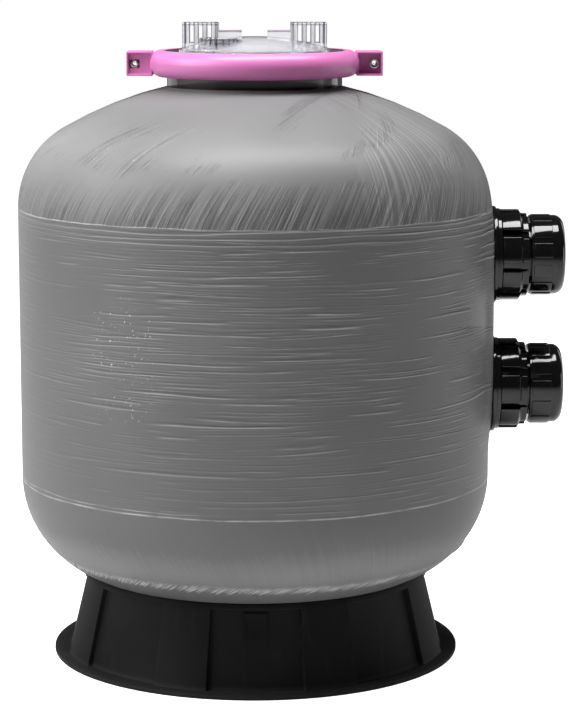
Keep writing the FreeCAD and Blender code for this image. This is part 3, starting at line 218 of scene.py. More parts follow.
class Field:
    """A value that changes over a surface. Sums and products of it add Math nodes to its material."""

    def __init__(self, socket):
        self.socket = socket

    def add(self, kind, inputs, output=0, stops=None, **settings):
        """Add a node of any kind, with its settings and what feeds its sockets, and give an output."""
        node = self.socket.id_data.nodes.new("ShaderNode" + kind)
        for name, value in settings.items():
            setattr(node, name, value)
        for index, (place, color) in enumerate(stops or ()):
            ramp = node.color_ramp.elements
            element = ramp[index] if index < 2 else ramp.new(place)
            element.position, element.color = place, (*color, 1)
        for name, value in inputs.items():
            if isinstance(value, Field):
                self.socket.id_data.links.new(value.socket, node.inputs[name])
            else:
                node.inputs[name].default_value = value
        return Field(node.outputs[output])

    def math(self, operation, *others):
        return self.add("Math", dict(enumerate((self, *others))), operation=operation)

    def __add__(self, other):
        return self.math("ADD", other)

    def __mul__(self, other):
        return self.math("MULTIPLY", other)

    def __sub__(self, other):
        return self.math("SUBTRACT", other)

    def __rsub__(self, other):
        return self.add("Math", {0: other, 1: self}, operation="SUBTRACT")

    def __truediv__(self, other):
        return self.math("DIVIDE", other)

    def __rtruediv__(self, other):
        return self.add("Math", {0: other, 1: self}, operation="DIVIDE")

    __radd__, __rmul__ = __add__, __mul__

    def step(self, low, high):
        """0 below low, 1 above high, and smooth between them. low may be the larger."""
        return self.add("MapRange", {"Value": self, "From Min": low, "From Max": high},
                        interpolation_type="SMOOTHSTEP")

    def noise(self, scale, detail=2.0, rough=0.5):
        return self.add("TexNoise", {"Vector": self, "Scale": scale, "Detail": detail, "Roughness": rough})

    def tint(self, low, high):
        """A colour between two, by this value."""
        return self.add("Mix", {0: self, 6: (*low, 1), 7: (*high, 1)}, output=2, data_type="RGBA")

    def ridge(self, level, narrow):
        """1 where this value crosses a level, and 0 away from it: the higher narrow, the thinner the line."""
        return (1.0 - (self - level).math("ABSOLUTE") * narrow).math("MAXIMUM", 0.0)

    def bump(self, depth, strength=1.0):
        return self.add("Bump", {"Height": self, "Distance": depth, "Strength": strength})

    def feeds(self, shader, name):
        self.socket.id_data.links.new(self.socket, shader.inputs[name])


def finish(name, color, roughness, **constants):
    """A material with its constant values, and the point on the object that its patterns start from."""
    material = bpy.data.materials.new(name)
    material.use_nodes = True
    shader = material.node_tree.nodes["Principled BSDF"]
    shader.inputs["Base Color"].default_value = (*color, 1)
    shader.inputs["Roughness"].default_value = roughness
    for socket, value in constants.items():
        shader.inputs[socket.replace("_", " ")].default_value = value
    return material, shader, Field(material.node_tree.nodes.new("ShaderNodeTexCoord").outputs["Object"])


wound_resin, shader, point = finish("wound_resin", (0.2, 0.2, 0.2), 0.4, Specular_IOR_Level=0.22)
across = point.add("SeparateXYZ", {0: point}, output=0)
depth = point.add("SeparateXYZ", {0: point}, output=1)
height = point.add("SeparateXYZ", {0: point}, output=2)
radius = (across * across + depth * depth).math("POWER", 0.5).math("MAXIMUM", 0.001)
angle = depth.math("ARCTAN2", across)
round_x, round_y = across / radius, depth / radius


def around(stretch, rise, shift=0.0, twist=None):
    """A point on a unit drum, stretched round it and up it, and twisted by an angle on the way."""
    if twist is None:
        flat = (round_x * stretch, round_y * stretch)
    else:
        turned = angle - twist
        flat = (turned.math("COSINE") * stretch, turned.math("SINE") * stretch)
    return point.add("CombineXYZ", {0: flat[0], 1: flat[1], 2: height * rise + shift})


# Hoop windings: long level strands, a little wavy, each a pale hair that is partly a painted highlight on its
# ridge, with a dark gap beside it that is painted shade
in_band = (height.step(LOW_SEAM - 0.002, LOW_SEAM + 0.001)
           * height.step(HIGH_SEAM + 0.002, HIGH_SEAM - 0.001))
under_seam = height.step(HIGH_SEAM - 0.026, HIGH_SEAM - 0.018)
smooth_left = across.step(-0.27, -0.08) * 0.75 + 0.25
smooth_low = height.step(0.24, 0.38) * 0.55 + 0.45


def hoops(per_metre, wander, shift, narrow, always=0.0):
    """Hairs and gaps of one layer of strands, each hair pale and partly a painted highlight, each gap painted
    shade, and each strand with its own strength along its way.
    """
    count = height * per_metre + around(1.0, 34.0, shift).noise(1.0, 2.0) * wander
    strand = point.add("CombineXYZ",
                       {0: round_x * 2.3, 1: round_y * 2.3, 2: count.math("FLOOR") * 7.3})
    strength = (strand.noise(1.0, 2.0).step(0.47, 0.64) + always).math("MINIMUM", 1.0)
    across_it = count.math("FRACT")
    return strength * across_it.ridge(0.35, narrow), strength * across_it.ridge(0.62, narrow * 0.8)


wide_lit_hairs, wide_shaded_gaps = hoops(WIDE_STRANDS, 2.6, 0.0, 6.0, under_seam * 0.8)
fine_lit_hairs, fine_shaded_gaps = hoops(FINE_STRANDS, 4.5, 9.0, 4.0, 0.12)
patches = around(2.2, 16.0, 7.0).noise(1.0, 3.0, 0.6).step(0.34, 0.58)
laid = in_band * smooth_left * smooth_low
# Pale hairs, partly painted highlight, and dark gaps of painted shade, for the hoop band
hoop_lit_hairs = laid * (wide_lit_hairs * 0.9 + fine_lit_hairs * patches * 0.6)
hoop_shaded_gaps = laid * (wide_shaded_gaps + fine_shaded_gaps * patches)

# Helical windings on the shoulder: each runs along a line that just clears the neck, as a pale hair that is
# partly a painted highlight with a dark gap of painted shade beside it
lean = (CLEAR_OF_NECK / radius).math("MINIMUM", 1.0).math("ARCCOSINE")
twist = 1.16 - lean + (height - HIGH_SEAM) * 1.5
slanted = around(90.0, 4.0, 3.0, twist).noise(1.0, 2.0, 0.6)
slanted_fine = around(150.0, 6.0, 9.0, twist).noise(1.0, 1.0)
on_shoulder = height.step(HIGH_SEAM - 0.001, HIGH_SEAM + 0.002)
near_seam = (height.step(HIGH_SEAM + 0.062, HIGH_SEAM + 0.004)
             * (across.step(-0.25, 0.02) * 0.7 + 0.3))
clumps = around(3.2, 26.0, 2.0, twist).noise(1.0, 3.0, 0.6).step(0.50, 0.68)
slant_mask = on_shoulder * (near_seam * 0.85 + clumps * 0.45).math("MINIMUM", 1.0)
slant_lit_hairs = slant_mask * (slanted.ridge(0.5, 17.0) + slanted_fine.ridge(0.52, 9.0) * 0.5)
slant_shaded_gaps = slant_mask * (slanted.ridge(0.57, 9.0) + slanted_fine.ridge(0.44, 8.0) * 0.6)

# A few long strands run down the right of the shoulder, and a fan of them opens beside the neck
upwards = around(46.0, 1.0, 6.0).noise(1.0, 1.0)
strands = on_shoulder * across.step(0.11, 0.15) * across.step(0.26, 0.21) * upwards.ridge(0.5, 12.0)
fan = (on_shoulder * radius.step(0.20, 0.14) * across.step(0.07, 0.11)
       * (around(90.0, 1.0, 2.0).noise(1.0, 2.0) - 0.5))

# Lower end: smooth resin with faint upright strands, and a ragged edge where the last winding stops
upright = around(120.0, 8.0, 4.0, (height - LOW_SEAM) * -1.2).noise(1.0, 2.0)
below = height.step(LOW_SEAM + 0.001, LOW_SEAM - 0.002)
ragged = around(80.0, 30.0, 1.0, height * 6.0).noise(1.0, 3.0, 0.7)
fringe_height = height + (ragged - 0.5) * 0.030 + (around(3.0, 2.0).noise(1.0) - 0.5) * 0.012
overlap = fringe_height.step(WINDING_END + 0.0035, WINDING_END)
fringe = (fringe_height.step(WINDING_END + 0.009, WINDING_END + 0.004)
          * fringe_height.step(WINDING_END - 0.003, WINDING_END + 0.001))

# Seams: a raised edge of strands at each end of the hoop band
seam_wave = (around(5.0, 1.0, 5.0).noise(1.0, 3.0) - 0.5) * 0.004
seams = ((height + seam_wave).ridge(HIGH_SEAM, 800.0)
         + (height + seam_wave * 0.8).ridge(LOW_SEAM, 650.0)
         + (height - seam_wave * 1.5).ridge(LOW_SEAM + 0.005, 900.0) * across.step(0.0, -0.12) * 0.6)
seams = seams * (around(9.0, 1.0, 8.0).noise(1.0, 3.0).step(0.30, 0.62) * 0.7 + 0.3)

# Small white flecks where fibre ends stand up, most of them on the left of the band
flecked = (across.step(-0.21, -0.17) * across.step(-0.11, -0.14)
           * height.step(0.33, 0.37) * height.step(0.50, 0.46))
flecks = (around(75.0, 330.0, 4.0).noise(1.0, 2.0).step(0.66, 0.74)
          * (flecked + clumps * on_shoulder * 0.3))

# The resin's grey, darker in the gaps as painted shade and paler on the hairs as partly painted highlight,
# and the fine relief of the strands
cloud = point.noise(4.5, 3.0, 0.5)
# Painted light and shade in the grey: the shoulder paler from 0.60 m up and paler again on its upper left, as
# painted light; the lower end a little darker below the low seam, as painted shade
tone = (0.5 + hoop_lit_hairs * 0.26 - hoop_shaded_gaps * 0.18 + slant_lit_hairs * 0.20 - slant_shaded_gaps * 0.20
        + strands * 0.10 + fan * 0.45 + seams * 0.34 + flecks * 0.5
        + fringe * ragged.step(0.40, 0.60) * 0.42 + below * (upright - 0.5) * 0.05
        + (cloud - 0.5) * 0.10 - below * 0.02 + height.step(0.60, 0.68) * 0.05
        + height.step(0.20, 0.155) * height.step(0.125, 0.150) * 0.08
        + height.step(0.555, 0.60) * height.step(0.70, 0.65) * across.step(0.14, -0.04) * 0.05)
grey = tone.add("ValToRGB", {0: tone}, stops=[(0.0, RESIN_DARK), (1.0, RESIN_PALE), (0.5, RESIN_GREY)])
grey.feeds(shader, "Base Color")
(0.42 + (cloud - 0.5) * 0.12).feeds(shader, "Roughness")
relief = (hoop_lit_hairs * 0.9 - hoop_shaded_gaps * 0.9 + slant_lit_hairs * 0.8 - slant_shaded_gaps * 0.8 + fan * 1.5
          + seams * 1.4 + overlap * 1.5 + overlap * (ragged - 0.5) * 1.6 + below * (upright - 0.5) * 0.12)
relief.bump(0.0007, 0.9).feeds(shader, "Normal")

bowl_centre = LOW_SEAM + math.sqrt((BOWL - KNUCKLE_LOW) ** 2 - (TANK_RADIUS - KNUCKLE_LOW) ** 2)
crown_centre = HIGH_SEAM - math.sqrt((CROWN - KNUCKLE_HIGH) ** 2 - (TANK_RADIUS - KNUCKLE_HIGH) ** 2)
belly_turn = math.degrees(math.asin((bowl_centre - LOW_SEAM) / (BOWL - KNUCKLE_LOW)))
shoulder_turn = math.degrees(math.asin((HIGH_SEAM - crown_centre) / (CROWN - KNUCKLE_HIGH)))
crown_turn = math.degrees(math.acos(NECK_HOLE / CROWN)) - shoulder_turn
shell = bmesh.new()
trace(shell, (0, bowl_centre - BOWL), [
    (0, bowl_centre, 90 - belly_turn),
    (TANK_RADIUS - KNUCKLE_LOW, LOW_SEAM, belly_turn),
    *[(TANK_RADIUS, LOW_SEAM + (HIGH_SEAM - LOW_SEAM) * step / WALL_STEPS)
      for step in range(1, WALL_STEPS + 1)],
    (TANK_RADIUS - KNUCKLE_HIGH, HIGH_SEAM, shoulder_turn),
    (0, crown_centre, crown_turn),
])
turn(shell, 320)
for vert in shell.verts:
    end = min(max(vert.co.z, LOWER_PORT), UPPER_PORT)
    reach = math.hypot(vert.co.y, vert.co.z - end)
    if vert.co.x > TANK_RADIUS / 2 and reach < PAD_REACH:
        share = min(1.0, (PAD_REACH - reach) / PAD_BLEND)
        share = share * share * (3 - 2 * share)
        vert.co.x += (PAD_FACE - vert.co.x) * share
bmesh.ops.solidify(shell, geom=shell.faces[:], thickness=TANK_WALL)
tank = piece("tank", shell, wound_resin, "tank", "tank_shell", smooth=50)
for port in (UPPER_PORT, LOWER_PORT):
    sideways = Matrix.Translation((0, 0, port)) @ Matrix.Rotation(math.pi / 2, 4, "Y")
    cut(tank, rod(PORT_HOLE, 0.25, 0.35, sideways))

# The drain's seat: its axis leaves the lower knuckle slanting down, a little behind the right side
DRAIN_TURN, DRAIN_FALL = math.radians(18), math.radians(48)
SEAT_RADIUS, SEAT_FOOT, SEAT_FACE = 0.036, 0.121, 0.132
DRAIN_HOLE = 0.017
knuckle = Vector(((TANK_RADIUS - KNUCKLE_LOW) * math.cos(DRAIN_TURN),
                  (TANK_RADIUS - KNUCKLE_LOW) * math.sin(DRAIN_TURN), LOW_SEAM))
ON_DRAIN = (Matrix.Translation(knuckle) @ Matrix.Rotation(DRAIN_TURN, 4, "Z")
            @ Matrix.Rotation(math.pi / 2 + DRAIN_FALL, 4, "Y"))
cut(tank, rod(SEAT_RADIUS, SEAT_FOOT, SEAT_FACE, ON_DRAIN), "UNION")
cut(tank, rod(DRAIN_HOLE, 0.100, 0.140, ON_DRAIN))


# The stand: one black polypropylene moulding. Raised panels stiffen the skirt, a flange spreads the
# weight, and a small square lug sits in the front recess.
STAND_RADIUS, FLANGE, FOOT, RIM, RIM_WIDTH = 0.261, 0.0055, 0.246, 0.221, 0.012
RIM_HEIGHT, SEAT_HEIGHT = 0.1106, 0.1043
RECESS, SHELF, SKIRT = 0.006, 0.1026, 0.005
PANELS, RAISED = 8, math.radians(16.6)
LUG_SIZE, LUG_HEIGHT, LUG_SUNK = (0.0295, 0.010, 0.033), 0.0812, 0.0025
LUG_WALL, LUG_DISH = 0.0025, 0.0008
STAND_BLACK, STAND_GREY = (0.003, 0.003, 0.003), (0.024, 0.024, 0.025)

stand_plastic, shader, point = finish("stand_plastic", (0.006, 0.006, 0.006), 0.5, Specular_IOR_Level=0.08)
cloud = point.noise(9.0, 4.0, 0.6)
grain = point.noise(700.0, 2.0, 0.6)
drawn_down = point.add("Mapping", {"Vector": point, "Scale": (1.0, 1.0, 0.15)})
scuffs = drawn_down.noise(60.0, 4.0, 0.7).step(0.56, 0.75)
# The foot, below about 12 mm, is paler
paler_at_foot = point.add("SeparateXYZ", {0: point}, output=2).step(0.012, 0.006)
(cloud * 0.4 + scuffs * 0.3 + paler_at_foot * 0.6).tint(STAND_BLACK, STAND_GREY).feeds(shader, "Base Color")
(0.46 + cloud * 0.16 + scuffs * 0.1).feeds(shader, "Roughness")
(grain * 0.5 + cloud * 0.5).bump(0.00025, 0.5).feeds(shader, "Normal")


def soften(bm, width, sharper=28, segments=2):
    """Round the edges of a mesh that are sharper than an angle."""
    edges = [edge for edge in bm.edges if len(edge.link_faces) == 2
             and edge.calc_face_angle() > math.radians(sharper)]
    bmesh.ops.bevel(bm, geom=edges, offset=width, offset_type="OFFSET", affect="EDGES", segments=segments,
                    profile=0.5, material=-1, clamp_overlap=True)


def join(bm, other):
    """Put one mesh into another."""
    mesh = bpy.data.meshes.new("joined")
    other.to_mesh(mesh)
    other.free()
    bm.from_mesh(mesh)
    bpy.data.meshes.remove(mesh)


skirt = bmesh.new()
lean = (FOOT - RIM) / (RIM_HEIGHT - FLANGE)
trace(skirt, (FOOT - SKIRT - RECESS, 0), [
    (STAND_RADIUS, 0), (STAND_RADIUS, FLANGE), (FOOT, FLANGE), (RIM + (RIM_HEIGHT - SHELF) * lean, SHELF),
    (RIM, RIM_HEIGHT), (RIM - RIM_WIDTH, SEAT_HEIGHT), (RIM - RIM_WIDTH, SEAT_HEIGHT - SKIRT),
    (RIM + (RIM_HEIGHT - SEAT_HEIGHT + SKIRT) * lean - SKIRT - RECESS, SEAT_HEIGHT - SKIRT),
], closed=True)
turn(skirt, 480)
pitch = math.tau / PANELS


def from_recess(face):
    """How far round a face is from the middle of its recess, and where the face is."""
    middle = face.calc_center_median()
    turned = math.atan2(middle.y, middle.x)
    return abs((turned + pitch / 2) % pitch - pitch / 2), middle


walls = []
for face in skirt.faces:
    away, middle = from_recess(face)
    outer_wall = 0.05 < face.normal.z < 0.6 and FLANGE < middle.z < SHELF
    if outer_wall and away < (pitch - RAISED) / 2:
        walls.append(face)
pushed = bmesh.ops.extrude_face_region(skirt, geom=walls)["geom"]
bmesh.ops.delete(skirt, geom=walls, context="FACES")
for vert in [item for item in pushed if isinstance(item, bmesh.types.BMVert)]:
    outwards = Vector((vert.co.x, vert.co.y, 0)).normalized()
    vert.co -= outwards * RECESS
bmesh.ops.recalc_face_normals(skirt, faces=skirt.faces[:])
soften(skirt, 0.0012, 20)
lug = bmesh.new()
bmesh.ops.create_cube(lug, size=1.0)
bmesh.ops.scale(lug, verts=lug.verts[:], vec=LUG_SIZE)
face = min(lug.faces, key=lambda item: item.normal.y)
bmesh.ops.inset_region(lug, faces=[face], thickness=LUG_WALL)
bmesh.ops.translate(lug, verts=face.verts[:], vec=(0, LUG_DISH, 0))
soften(lug, 0.0008, 60)
bmesh.ops.rotate(lug, verts=lug.verts[:], cent=(0, 0, 0), matrix=Matrix.Rotation(-math.atan(lean), 3, "X"))
wall_there = RIM - RECESS + (RIM_HEIGHT - LUG_HEIGHT) * lean
bmesh.ops.translate(lug, verts=lug.verts[:], vec=(0, -wall_there + LUG_SUNK, LUG_HEIGHT))
join(skirt, lug)
piece("stand", skirt, stand_plastic, "tank", "base_stand")


# The neck: a black plastic ring moulded into the top of the tank. The clamp holds its sloped flange, and
# a groove in its top face takes the rubber seal.
NECK_BORE, NECK_WALL, NECK_FOOT = 0.098, 0.1105, 0.716
FLANGE_ROOT, FLANGE_EDGE, FLANGE_FOOT, FLANGE_TIP = 0.114, 0.124, 0.7425, 0.7475
SEAL_IN, SEAL_OUT, SEAL_FLOOR = 0.1028, 0.1092, 0.749
CLOSURE = 0.755

fitting_plastic, shader, point = finish("fitting_plastic", (0.003, 0.003, 0.003), 0.16,
                                        Specular_IOR_Level=0.5)
cloud = point.noise(30.0, 4.0, 0.6)
dust = point.noise(420.0, 2.0, 0.7).step(0.66, 0.80)
(cloud * 0.3 + dust * 0.5).tint((0.002, 0.002, 0.0025), (0.012, 0.012, 0.013)).feeds(shader, "Base Color")
(0.06 + cloud * 0.06 + dust * 0.10).feeds(shader, "Roughness")
point.noise(160.0, 3.0).bump(0.0002, 0.25).feeds(shader, "Normal")

neck = bmesh.new()
trace(neck, (NECK_BORE, NECK_FOOT), [
    (NECK_WALL, NECK_FOOT), (NECK_WALL, FLANGE_FOOT), (FLANGE_ROOT, FLANGE_FOOT), (FLANGE_EDGE, FLANGE_TIP),
    (FLANGE_EDGE, CLOSURE), (SEAL_OUT, CLOSURE), (SEAL_OUT, SEAL_FLOOR), (SEAL_IN, SEAL_FLOOR),
    (SEAL_IN, CLOSURE), (NECK_BORE, CLOSURE),
], closed=True)
turn(neck)
soften(neck, 0.0006)
piece("neck", neck, fitting_plastic, "tank", "neck_ring")


# The clamp: two halves of one glossy pink nylon moulding, a fat round ring with a V groove inside and a
# channel at each end for the screw. The right channel takes the screw's head, the left one the nut.
CLAMP_HEIGHT, BULGE, CLAMP_EDGE = 0.016, 0.017, 0.122
CLAMP_BORE, CLAMP_LIP = 0.1111, 0.1144
GROOVE_TOP, GROOVE_UPPER, GROOVE_WALL = 0.7680, 0.7630, 0.1244
GROOVE_LOWER, GROOVE_FOOT, GROOVE_ROOT = 0.7473, 0.7422, 0.1140
HALF_GAP, GAP_RADIUS = 0.002, 0.12
EAR_ROOT, EAR_REACH, EAR_DEPTH, EAR_HALF, BOLT = 0.128, 0.1607, 0.022, 0.015, 0.1507
HEAD_CHANNEL, NUT_CHANNEL = 0.015, 0.004
POCKET_SIZE, POCKET_DEPTH = (0.013, 0.0095, 0.0106), 0.0145 + 0.0032
SCREW_HOLE = 0.0033

clamp_plastic, shader, point = finish("clamp_plastic", (0.64, 0.19, 0.46), 0.37, Coat_Weight=0.08,
                                      Coat_Roughness=0.20, Subsurface_Weight=0.12, Subsurface_Scale=0.01)
cloud = point.noise(22.0, 4.0, 0.6)
fine = point.noise(350.0, 2.0, 0.5)
cloud.tint((0.58, 0.165, 0.415), (0.62, 0.185, 0.44)).feeds(shader, "Base Color")
(0.36 + cloud * 0.06).feeds(shader, "Roughness")
(fine + cloud * 2.0).bump(0.00012, 0.4).feeds(shader, "Normal")


def box(size, centre, width=0.0008, recess=0.0, wall=0.003):
    """A box with rounded edges, and with a recess in its front face where one is asked for."""
    bm = bmesh.new()
    bmesh.ops.create_cube(bm, size=1.0)
    bmesh.ops.scale(bm, verts=bm.verts[:], vec=size)
    if recess:
        face = min(bm.faces, key=lambda item: item.normal.y)
        bmesh.ops.inset_region(bm, faces=[face], thickness=wall)
        made = bmesh.ops.extrude_discrete_faces(bm, faces=[face])["faces"]
        bmesh.ops.translate(bm, verts=made[0].verts[:], vec=(0, recess, 0))
    if width:
        soften(bm, width, 60)
    bmesh.ops.translate(bm, verts=bm.verts[:], vec=centre)
    return bm


bulge_centre = CLAMP_EDGE - math.sqrt(BULGE ** 2 - CLAMP_HEIGHT ** 2)
bulge_turn = math.degrees(math.asin(CLAMP_HEIGHT / BULGE))
for label, flip in (("front", 0.0), ("rear", math.pi)):
    half = bmesh.new()
    trace(half, (CLAMP_BORE, CLOSURE - CLAMP_HEIGHT), [
        (CLAMP_EDGE, CLOSURE - CLAMP_HEIGHT), (bulge_centre, CLOSURE, 2 * bulge_turn),
        (CLAMP_LIP, CLOSURE + CLAMP_HEIGHT), (CLAMP_LIP, GROOVE_TOP), (GROOVE_WALL, GROOVE_UPPER),
        (GROOVE_WALL, GROOVE_LOWER), (GROOVE_ROOT, GROOVE_FOOT), (CLAMP_BORE, GROOVE_FOOT),
    ], closed=True)
    bmesh.ops.contextual_create(half, geom=half.edges[:])
    split = math.asin(HALF_GAP / GAP_RADIUS)
    bmesh.ops.rotate(half, verts=half.verts[:], cent=(0, 0, 0),
                     matrix=Matrix.Rotation(math.pi + split, 3, "Z"))
    bmesh.ops.spin(half, geom=half.verts[:] + half.edges[:] + half.faces[:], cent=(0, 0, 0), axis=(0, 0, 1),
                   angle=math.pi - 2 * split, steps=120)
    bmesh.ops.recalc_face_normals(half, faces=half.faces[:])
    soften(half, 0.0008, 50)
    ear_size = (EAR_REACH - EAR_ROOT, EAR_DEPTH, 2 * EAR_HALF)
    ear_centre = ((EAR_REACH + EAR_ROOT) / 2, -HALF_GAP - EAR_DEPTH / 2, CLOSURE)
    ears = box(ear_size, ear_centre, recess=HEAD_CHANNEL)
    join(ears, box(ear_size, (-ear_centre[0], ear_centre[1], CLOSURE), recess=NUT_CHANNEL))
    for mesh in (half, ears):
        bmesh.ops.rotate(mesh, verts=mesh.verts[:], cent=(0, 0, 0), matrix=Matrix.Rotation(flip, 3, "Z"))
    clamp = piece(f"clamp_{label}", ears, clamp_plastic, f"clamp_{label}",
                  f"clamp_half_{label}")
    nut_side = -1 if flip == 0.0 else 1
    cut(clamp, box(POCKET_SIZE, (nut_side * BOLT, nut_side * POCKET_DEPTH, CLOSURE), width=0.0))
    for bolt in (BOLT, -BOLT):
        through = Matrix.Translation((bolt, 0, CLOSURE)) @ Matrix.Rotation(math.pi / 2, 4, "X")
        cut(clamp, rod(SCREW_HOLE, -0.03, 0.03, through, 32))
    half.from_mesh(clamp.data)
    half.to_mesh(clamp.data)
    half.free()
    shade(clamp.data)


# The clamp's screws: M6 pan heads with a cross recess, turned from stainless steel, with their washers.
# Each crosses the gap between two ears into a nut that its pocket keeps from turning.
SHANK, TIP, SCREW_END, TIP_END = 0.003, 0.0024, -0.0194, -0.0188
HEAD_RADIUS, HEAD_FOOT, HEAD_SIDE, HEAD_TOP = 0.006, 0.0106, 0.0132, 0.0148
HEAD_CENTRE = 0.0028
WASHER_RADIUS, WASHER_FOOT = 0.0065, 0.009
NUT_RADIUS, NUT_HEIGHT, NUT_MIDDLE = 0.00577, 0.005, 0.0155
CROSS_TILT, CROSS_ARM = 0.35, (0.0062, 0.0011, 0.004)

stainless, shader, point = finish("stainless", (0.62, 0.61, 0.58), 0.22, Metallic=1.0)
turned = point.add("Mapping", {"Vector": point, "Scale": (1.0, 1.0, 9.0)})
lines = turned.noise(260.0, 3.0, 0.6)
lines.tint((0.50, 0.49, 0.47), (0.72, 0.71, 0.68)).feeds(shader, "Base Color")
(0.16 + lines * 0.18).feeds(shader, "Roughness")
lines.bump(0.00006, 0.4).feeds(shader, "Normal")

FRONTWARDS = Matrix.Rotation(math.pi / 2, 4, "X")
BACKWARDS = Matrix.Rotation(-math.pi / 2, 4, "X")
for side, bolt, head_way, nut_way, nut_body in (
        ("right", BOLT, FRONTWARDS, BACKWARDS, "clamp_rear"),
        ("left", -BOLT, BACKWARDS, FRONTWARDS, "clamp_front")):
    spot = Matrix.Translation((bolt, 0, CLOSURE))
    screw = bmesh.new()
    trace(screw, (0, SCREW_END), [
        (TIP, SCREW_END), (SHANK, TIP_END), (SHANK, HEAD_FOOT), (HEAD_RADIUS, HEAD_FOOT),
        (HEAD_RADIUS, HEAD_SIDE), (0, HEAD_CENTRE, 60), (0, HEAD_TOP),
    ])
    turn(screw, 48)
    screw.transform(spot @ head_way)
    head = piece(f"screw_{side}", screw, stainless, f"screw_{side}", f"clamp_screw_{side}")
    for tilt in (CROSS_TILT, CROSS_TILT + math.pi / 2):
        blade = box(CROSS_ARM, (0, 0, 0.0146), width=0.0)
        blade.transform(spot @ head_way @ Matrix.Rotation(tilt, 4, "Z"))
        cut(head, blade)
    washer = bmesh.new()
    trace(washer, (SCREW_HOLE, WASHER_FOOT), [
        (WASHER_RADIUS, WASHER_FOOT), (WASHER_RADIUS, HEAD_FOOT), (SCREW_HOLE, HEAD_FOOT),
    ], closed=True)
    turn(washer, 64)
    soften(washer, 0.0003, 60)
    washer.transform(spot @ head_way)
    piece(f"washer_{side}", washer, stainless, f"washer_{side}", f"clamp_washer_{side}")
    nut = bmesh.new()
    in_pocket = Matrix.Translation((0, 0, NUT_MIDDLE)) @ Matrix.Rotation(math.pi / 6, 4, "Z")
    bmesh.ops.create_cone(nut, cap_ends=True, segments=6, radius1=NUT_RADIUS, radius2=NUT_RADIUS,
                          depth=NUT_HEIGHT, matrix=in_pocket)
    soften(nut, 0.0004, 40)
    nut.transform(spot @ nut_way)
    hexagon = piece(f"nut_{side}", nut, stainless, nut_body, f"clamp_nut_{side}")
    cut(hexagon, rod(SCREW_HOLE, 0.0, 0.03, spot @ nut_way, 32))


# The lid: clear moulded styrene acrylonitrile, a shallow dome with two upright box grips and a well for
# the air relief. The clamp's V groove pulls its rim down on the seal.
FACE, RIM_TOP, DOME, CREST, DOME_EDGE = 0.7553, 0.7711, 0.300, 0.7885, 0.096
LID_WALL, LID_INSIDE = 0.006, 0.0916
SPIGOT_RADIUS, SPIGOT_FOOT = 0.0976, 0.7473
LID_FLANGE_TOP, LID_FLANGE_ROOT, RIM_BEVEL = 0.7628, 0.7678, 0.0016
RELIEF_X, RELIEF_Y = -0.045, -0.041
WELL_WALL, WELL_RADIUS, WELL_FLOOR = 0.030, 0.027, 0.773
BOSS_RADIUS, STEM_HOLE = 0.010, 0.0038
GRIP_OUT, GRIP_MIDDLE, SLOT_PITCH, SLOT_MIDDLE = 0.068, 0.781, 0.011, 0.7915
ARM_SIZE, GRIP_SIZE = (0.075, 0.015, 0.030), (0.046, 0.030, 0.050)
SLOT_SIZE, INNER_POCKET = (0.005, 0.05, 0.021), (0.003, 0.024, 0.0225)
KNOB_FLUTES = 18
# The lid's dark edges are painted shade
CLEAR, PAINTED_EDGE_SHADE = (0.93, 0.93, 0.96), (0.07, 0.07, 0.10)

clear_plastic, shader, point = finish("clear_plastic", (0.97, 0.98, 1.0), 0.03,
                                      Transmission_Weight=0.82, IOR=1.45)
across = point.add("SeparateXYZ", {0: point}, output=0)
depth = point.add("SeparateXYZ", {0: point}, output=1)
height = point.add("SeparateXYZ", {0: point}, output=2)
ripple = point.noise(45.0, 3.0, 0.6)
scratched = point.add("Mapping", {"Vector": point, "Scale": (1.0, 0.12, 1.0)})
scratches = scratched.noise(380.0, 2.0, 0.5)

# Thick walls seen edge on look dark, and that dark is painted into the colour as painted shade: round the
# grips and their slots, and between the flutes of the knob
out = across.math("ABSOLUTE")
in_slot = ((out - GRIP_OUT) / SLOT_PITCH + 0.5).math("FRACT")
painted_slot_lines = (in_slot.ridge(0.24, 9.0) + in_slot.ridge(0.76, 9.0)) * height.step(0.7790, 0.7800)
on_grip = out.step(0.0440, 0.0450) * height.step(0.7720, 0.7740)
edges = on_grip * (painted_slot_lines + out.ridge(0.0470, 700.0) + out.ridge(0.0875, 700.0)
                   + height.ridge(0.8035, 700.0) * 0.6)
painted_bar_lines = out.step(0.0465, 0.0455) * out.step(0.0150, 0.0160) * height.ridge(0.7945, 800.0)
from_x, from_y = across - RELIEF_X, depth - RELIEF_Y
from_knob = (from_x * from_x + from_y * from_y).math("POWER", 0.5)
round_knob = from_y.math("ARCTAN2", from_x) * (KNOB_FLUTES / math.tau) + 20.25
flutes = round_knob.math("FRACT").ridge(0.5, 4.0)
on_knob = (from_knob.step(0.0200, 0.0215) * from_knob.step(0.0256, 0.0250)
           * height.step(0.7720, 0.7735))
painted_knob_lines = on_knob * (flutes + height.ridge(0.7860, 700.0) + height.ridge(0.7755, 600.0) * 0.8)
# Painted shade where the clear surface turns edge on to the view
painted_grazing_shade = point.add("LayerWeight", {"Blend": 0.5}, output="Facing").step(0.87, 0.99)
painted_edge_shade = (painted_grazing_shade * 0.9 + (edges + painted_bar_lines + painted_knob_lines) * (0.5 + ripple * 0.6)).math("MINIMUM", 1.0)
painted_edge_shade.tint(CLEAR, PAINTED_EDGE_SHADE).feeds(shader, "Base Color")
(ripple * 0.06 + scratches.step(0.6, 0.8) * 0.10).feeds(shader, "Roughness")
(ripple * 3.0 + scratches * 0.3).bump(0.0003, 0.14).feeds(shader, "Normal")

